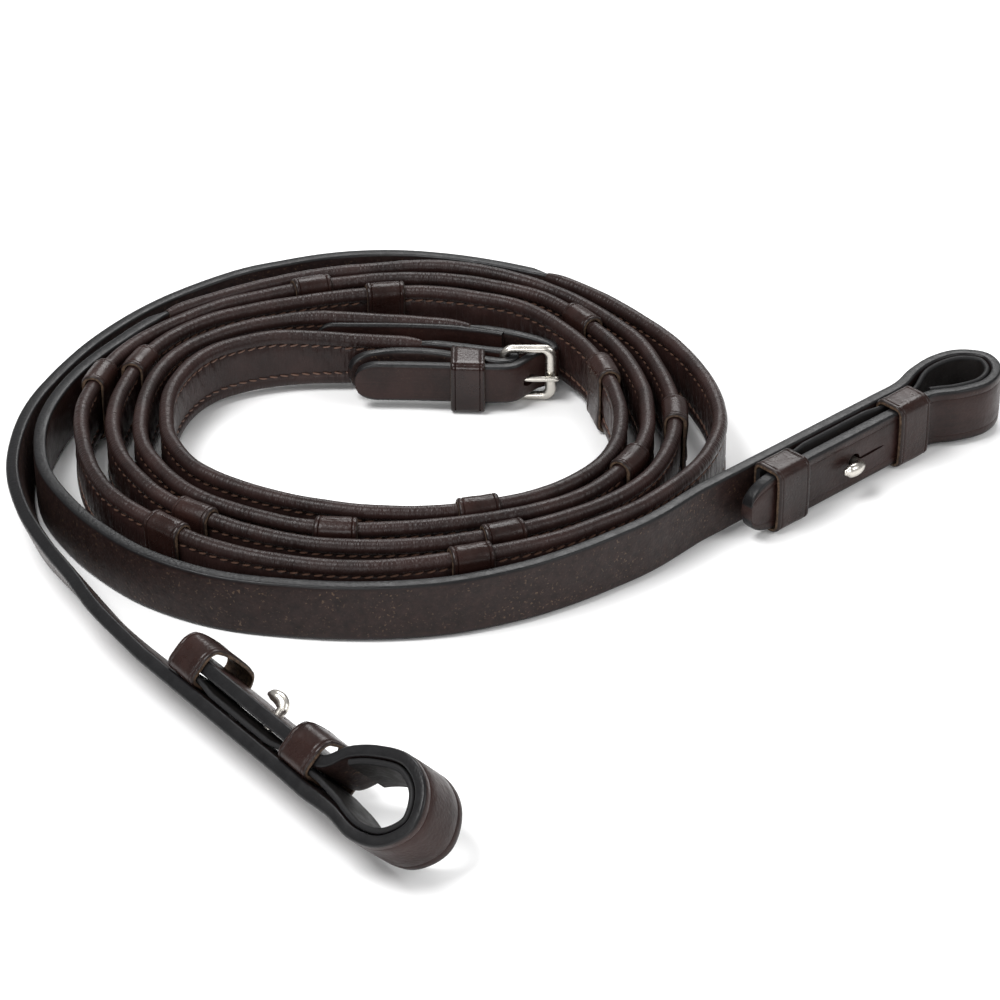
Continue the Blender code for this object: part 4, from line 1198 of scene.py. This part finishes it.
FRAME_SWELL = 0.32
TONGUE_REACH = 17
TONGUE_TAPER_START = 11
TONGUE_NOSE = 16.1
TONGUE_NOSE_LENGTH = 0.92


def build_buckle(bar):
    """The wire frame and the tongue, each on its own body."""
    half_height = FRAME_HEIGHT / 2 - BAR_RADIUS
    corners = [(FRAME_WIDTH - FRAME_CORNER, half_height - FRAME_CORNER, 0),
               (FRAME_CORNER, half_height - FRAME_CORNER, 90),
               (FRAME_CORNER, FRAME_CORNER - half_height, 180),
               (FRAME_WIDTH - FRAME_CORNER, FRAME_CORNER - half_height, 270)]
    centre = np.array([bar[0], bar[1], BUCKLE_HEIGHT])
    angles = np.arange(24) / 24 * 2 * math.pi
    rows = []
    for x, z, first in corners:
        for angle in np.radians(np.linspace(first, first + 90, 13)):
            out = np.array([math.cos(angle), 0.0, math.sin(angle)])
            middle = centre + np.array([x, 0.0, z]) + FRAME_CORNER * out
            far_side = x / FRAME_WIDTH > 0.5
            broad = 1 + FRAME_SWELL * far_side * min(1.0, abs(math.cos(angle)) * 1.4)
            rows.append(middle + BAR_RADIUS * (np.cos(angles)[:, None] * out * broad
                                               + np.sin(angles)[:, None] * BACK))
    sweep("buckle_frame_metal", np.array(rows), STEEL, closed=True, node="buckle_frame",
          slot="steel", body="buckle_frame")
    wrap = BAR_RADIUS + TONGUE_CLEARANCE + TONGUE_RADIUS
    centre = np.array([bar[0], bar[1], TONGUE_HEIGHT])
    angles = np.arange(16) / 16 * 2 * math.pi
    rows = []
    for angle in np.radians(np.linspace(10, 270, 27)):
        out = np.array([math.cos(angle), math.sin(angle), 0.0])
        rows.append(centre + out * wrap + TONGUE_RADIUS * (np.cos(angles)[:, None] * out
                                                           + np.sin(angles)[:, None] * UP))
    for x in np.linspace(1, TONGUE_REACH, 33):
        taper = max(0, x - TONGUE_TAPER_START) / (TONGUE_REACH - TONGUE_TAPER_START)
        share = 1 - 0.16 * taper ** 2
        share *= math.sqrt(max(1 - max(0, (x - TONGUE_NOSE) / TONGUE_NOSE_LENGTH) ** 2, 0.02))
        middle = centre + np.array([x * MM, -wrap, 0.0])
        rows.append(middle + TONGUE_RADIUS * share * (np.cos(angles)[:, None] * -BACK
                                                      + np.sin(angles)[:, None] * UP))
    sweep("buckle_tongue_metal", np.array(rows), STEEL, node="buckle_tongue", slot="steel",
          body="buckle_tongue")


# The centre keeper's two ends, in millimetres in the plan: x, front and back of its opening
CENTRE_KEEPER_ENDS = [(-15.0, 50.4, 61.5), (-4.6, 49.9, 59.2)]


def build_centre_keeper():
    """The glossy keeper beside the buckle, round the chape and the billet."""
    (x0, front0, back0), (x1, front1, back1) = CENTRE_KEEPER_ENDS
    length = (x1 - x0) * MM

    def ring(station, lift, wall):
        share = station / length + 0.5
        front, back = front0 + (front1 - front0) * share, back0 + (back1 - back0) * share
        middle = np.append(in_plan([(x0 + (x1 - x0) * share, (front + back) / 2)])[0],
                           CENTRE_KEEPER_HEIGHT)
        a, u = rounded_loop(CENTRE_KEEPER_WIDTH - 2 * wall + 2 * lift,
                            (back - front) * MM + 2 * (KEEPER_WALL - wall) + 2 * lift,
                            max(CENTRE_KEEPER_CORNER - wall, INNER_CORNER))
        return middle + a[:, None] * BACK + u[:, None] * UP

    build_band("centre_keeper_band", GLOSSY, length, ring,
               (CENTRE_KEEPER_WIDTH, 12 * MM, CENTRE_KEEPER_CORNER), node="centre_keeper")


def build_billet_backing(rein):
    """The short ply behind the left rein's buckle end, beside its soft cover."""
    start = rein.route.nearest(in_plan([(2, 74)])[0], 0.04, 0.2)
    finish = rein.route.nearest(in_plan([(-57, 76)])[0], 0.04, 0.2)
    distances = np.concatenate([spaced(start, finish - 6 * MM, 1.5 * MM),
                                spaced(finish - 5.5 * MM, finish, 0.5 * MM)])
    width = np.minimum(rein.cover_width(distances), BACKING_WIDTH)
    width = width * tip_share(finish - distances, 6 * MM)
    across, up, rim, near = strap_section(width, BACKING_THICKNESS - 0.2 * MM, crown=0.0)
    # the soft cover's rolled edges stand a little prouder than its web
    offset = -(COVER_THICKNESS / 2 + GAP + BACKING_THICKNESS / 2)
    rows = rein.rows(distances, across, up, offset)
    sweep("billet_backing_leather", rows, STRAP, distances, round_offsets(across, up),
          {"rim": rim, "edge_tone_and_seam_shade": near}, node="left_billet_backing", slot="strap_leather")


# ---- the whole model

def into_end(end):
    """The last points of a rein's route, which run straight into its bit end."""
    return [end.point(end.tip - back * MM, PLAIN_THICKNESS / 2)[:2] for back in (12, 6)]


def right_rein(end):
    """The right rein's route: folded chape, round the hinge bar and out through the coil."""
    bar = in_plan([HINGE_BAR])[0]
    fold = BAR_RADIUS + GAP + BUCKLE_END_THICKNESS / 2
    fold_line = [bar + fold * np.array([math.cos(a), math.sin(a)])
                 for a in np.radians(range(-90, 91, 30))]
    line = np.vstack([in_plan(CHAPE_ROUTE), fold_line, in_plan(RIGHT_ROUTE), into_end(end)])
    return Rein(end, Route(smooth_line(line)), RIGHT_STOPS, RIGHT_COVER_ENDS, COVER_SHARES)


def left_rein(end):
    """The left rein's route: billet, through the buckle and out through the coil."""
    line = np.vstack([in_plan(LEFT_ROUTE), into_end(end)])
    return Rein(end, Route(smooth_line(line)), LEFT_STOPS, LEFT_COVER_ENDS, COVER_SHARES)


right = right_rein(BitEnd(
    side="right", origin=(118.2, 36.3), heading=43.0, lean=0.0, slit=1.8 * MM,
    loop=(32.5 * MM, 20.0 * MM, -1.8 * MM),
    keepers=((-13.5 * MM, -66 * MM), 13 * MM, 0.4 * MM),
    stud=-32.0 * MM, tip=-75.5 * MM))
left = left_rein(BitEnd(
    side="left", origin=(-45.5, -158.0), heading=-52.3, lean=42.0, slit=0.8 * MM,
    loop=(34.5 * MM, 22.5 * MM, 1.1 * MM),
    keepers=((-14.5 * MM, -65.5 * MM), 12 * MM, 2.2 * MM),
    stud=-30.5 * MM, tip=-70 * MM))
bar = in_plan([HINGE_BAR])[0]
# the slot in the chape's fold for the tongue, and the billet's hole that the tongue goes through
tongue_slot = peg((bar[0] + 1.5 * MM, bar[1], TONGUE_HEIGHT), along=(0, 1, 0), upward=(0, 0, 1),
                  length=13 * MM, half_side=5.2 * MM, half_up=TONGUE_RADIUS + 1.2 * MM)
billet_hole = peg((bar[0] + 6.9 * MM, bar[1] - 3.1 * MM, TONGUE_HEIGHT), along=(1, 0, 0),
                  upward=(0, 0, 1), length=9 * MM, half_side=2.2 * MM,
                  half_up=TONGUE_RADIUS + 0.8 * MM)
for rein, buckle_hole in ((right, tongue_slot), (left, billet_hole)):
    strap, centres = build_strap(rein)
    post, return_holes = hole_pegs(rein.end)
    carve(strap, return_holes + [buckle_hole])
    lining = build_lining(rein.end)
    carve(lining, [post])
    build_cover(rein)
    build_stops(rein)
    for name, along in zip(("by_loop", "by_tip"), rein.end.keepers):
        build_keeper(rein.end, name, along)
    build_stud(rein.end)
    tuple(centres[0])
build_buckle(bar)
build_centre_keeper()
build_billet_backing(left)
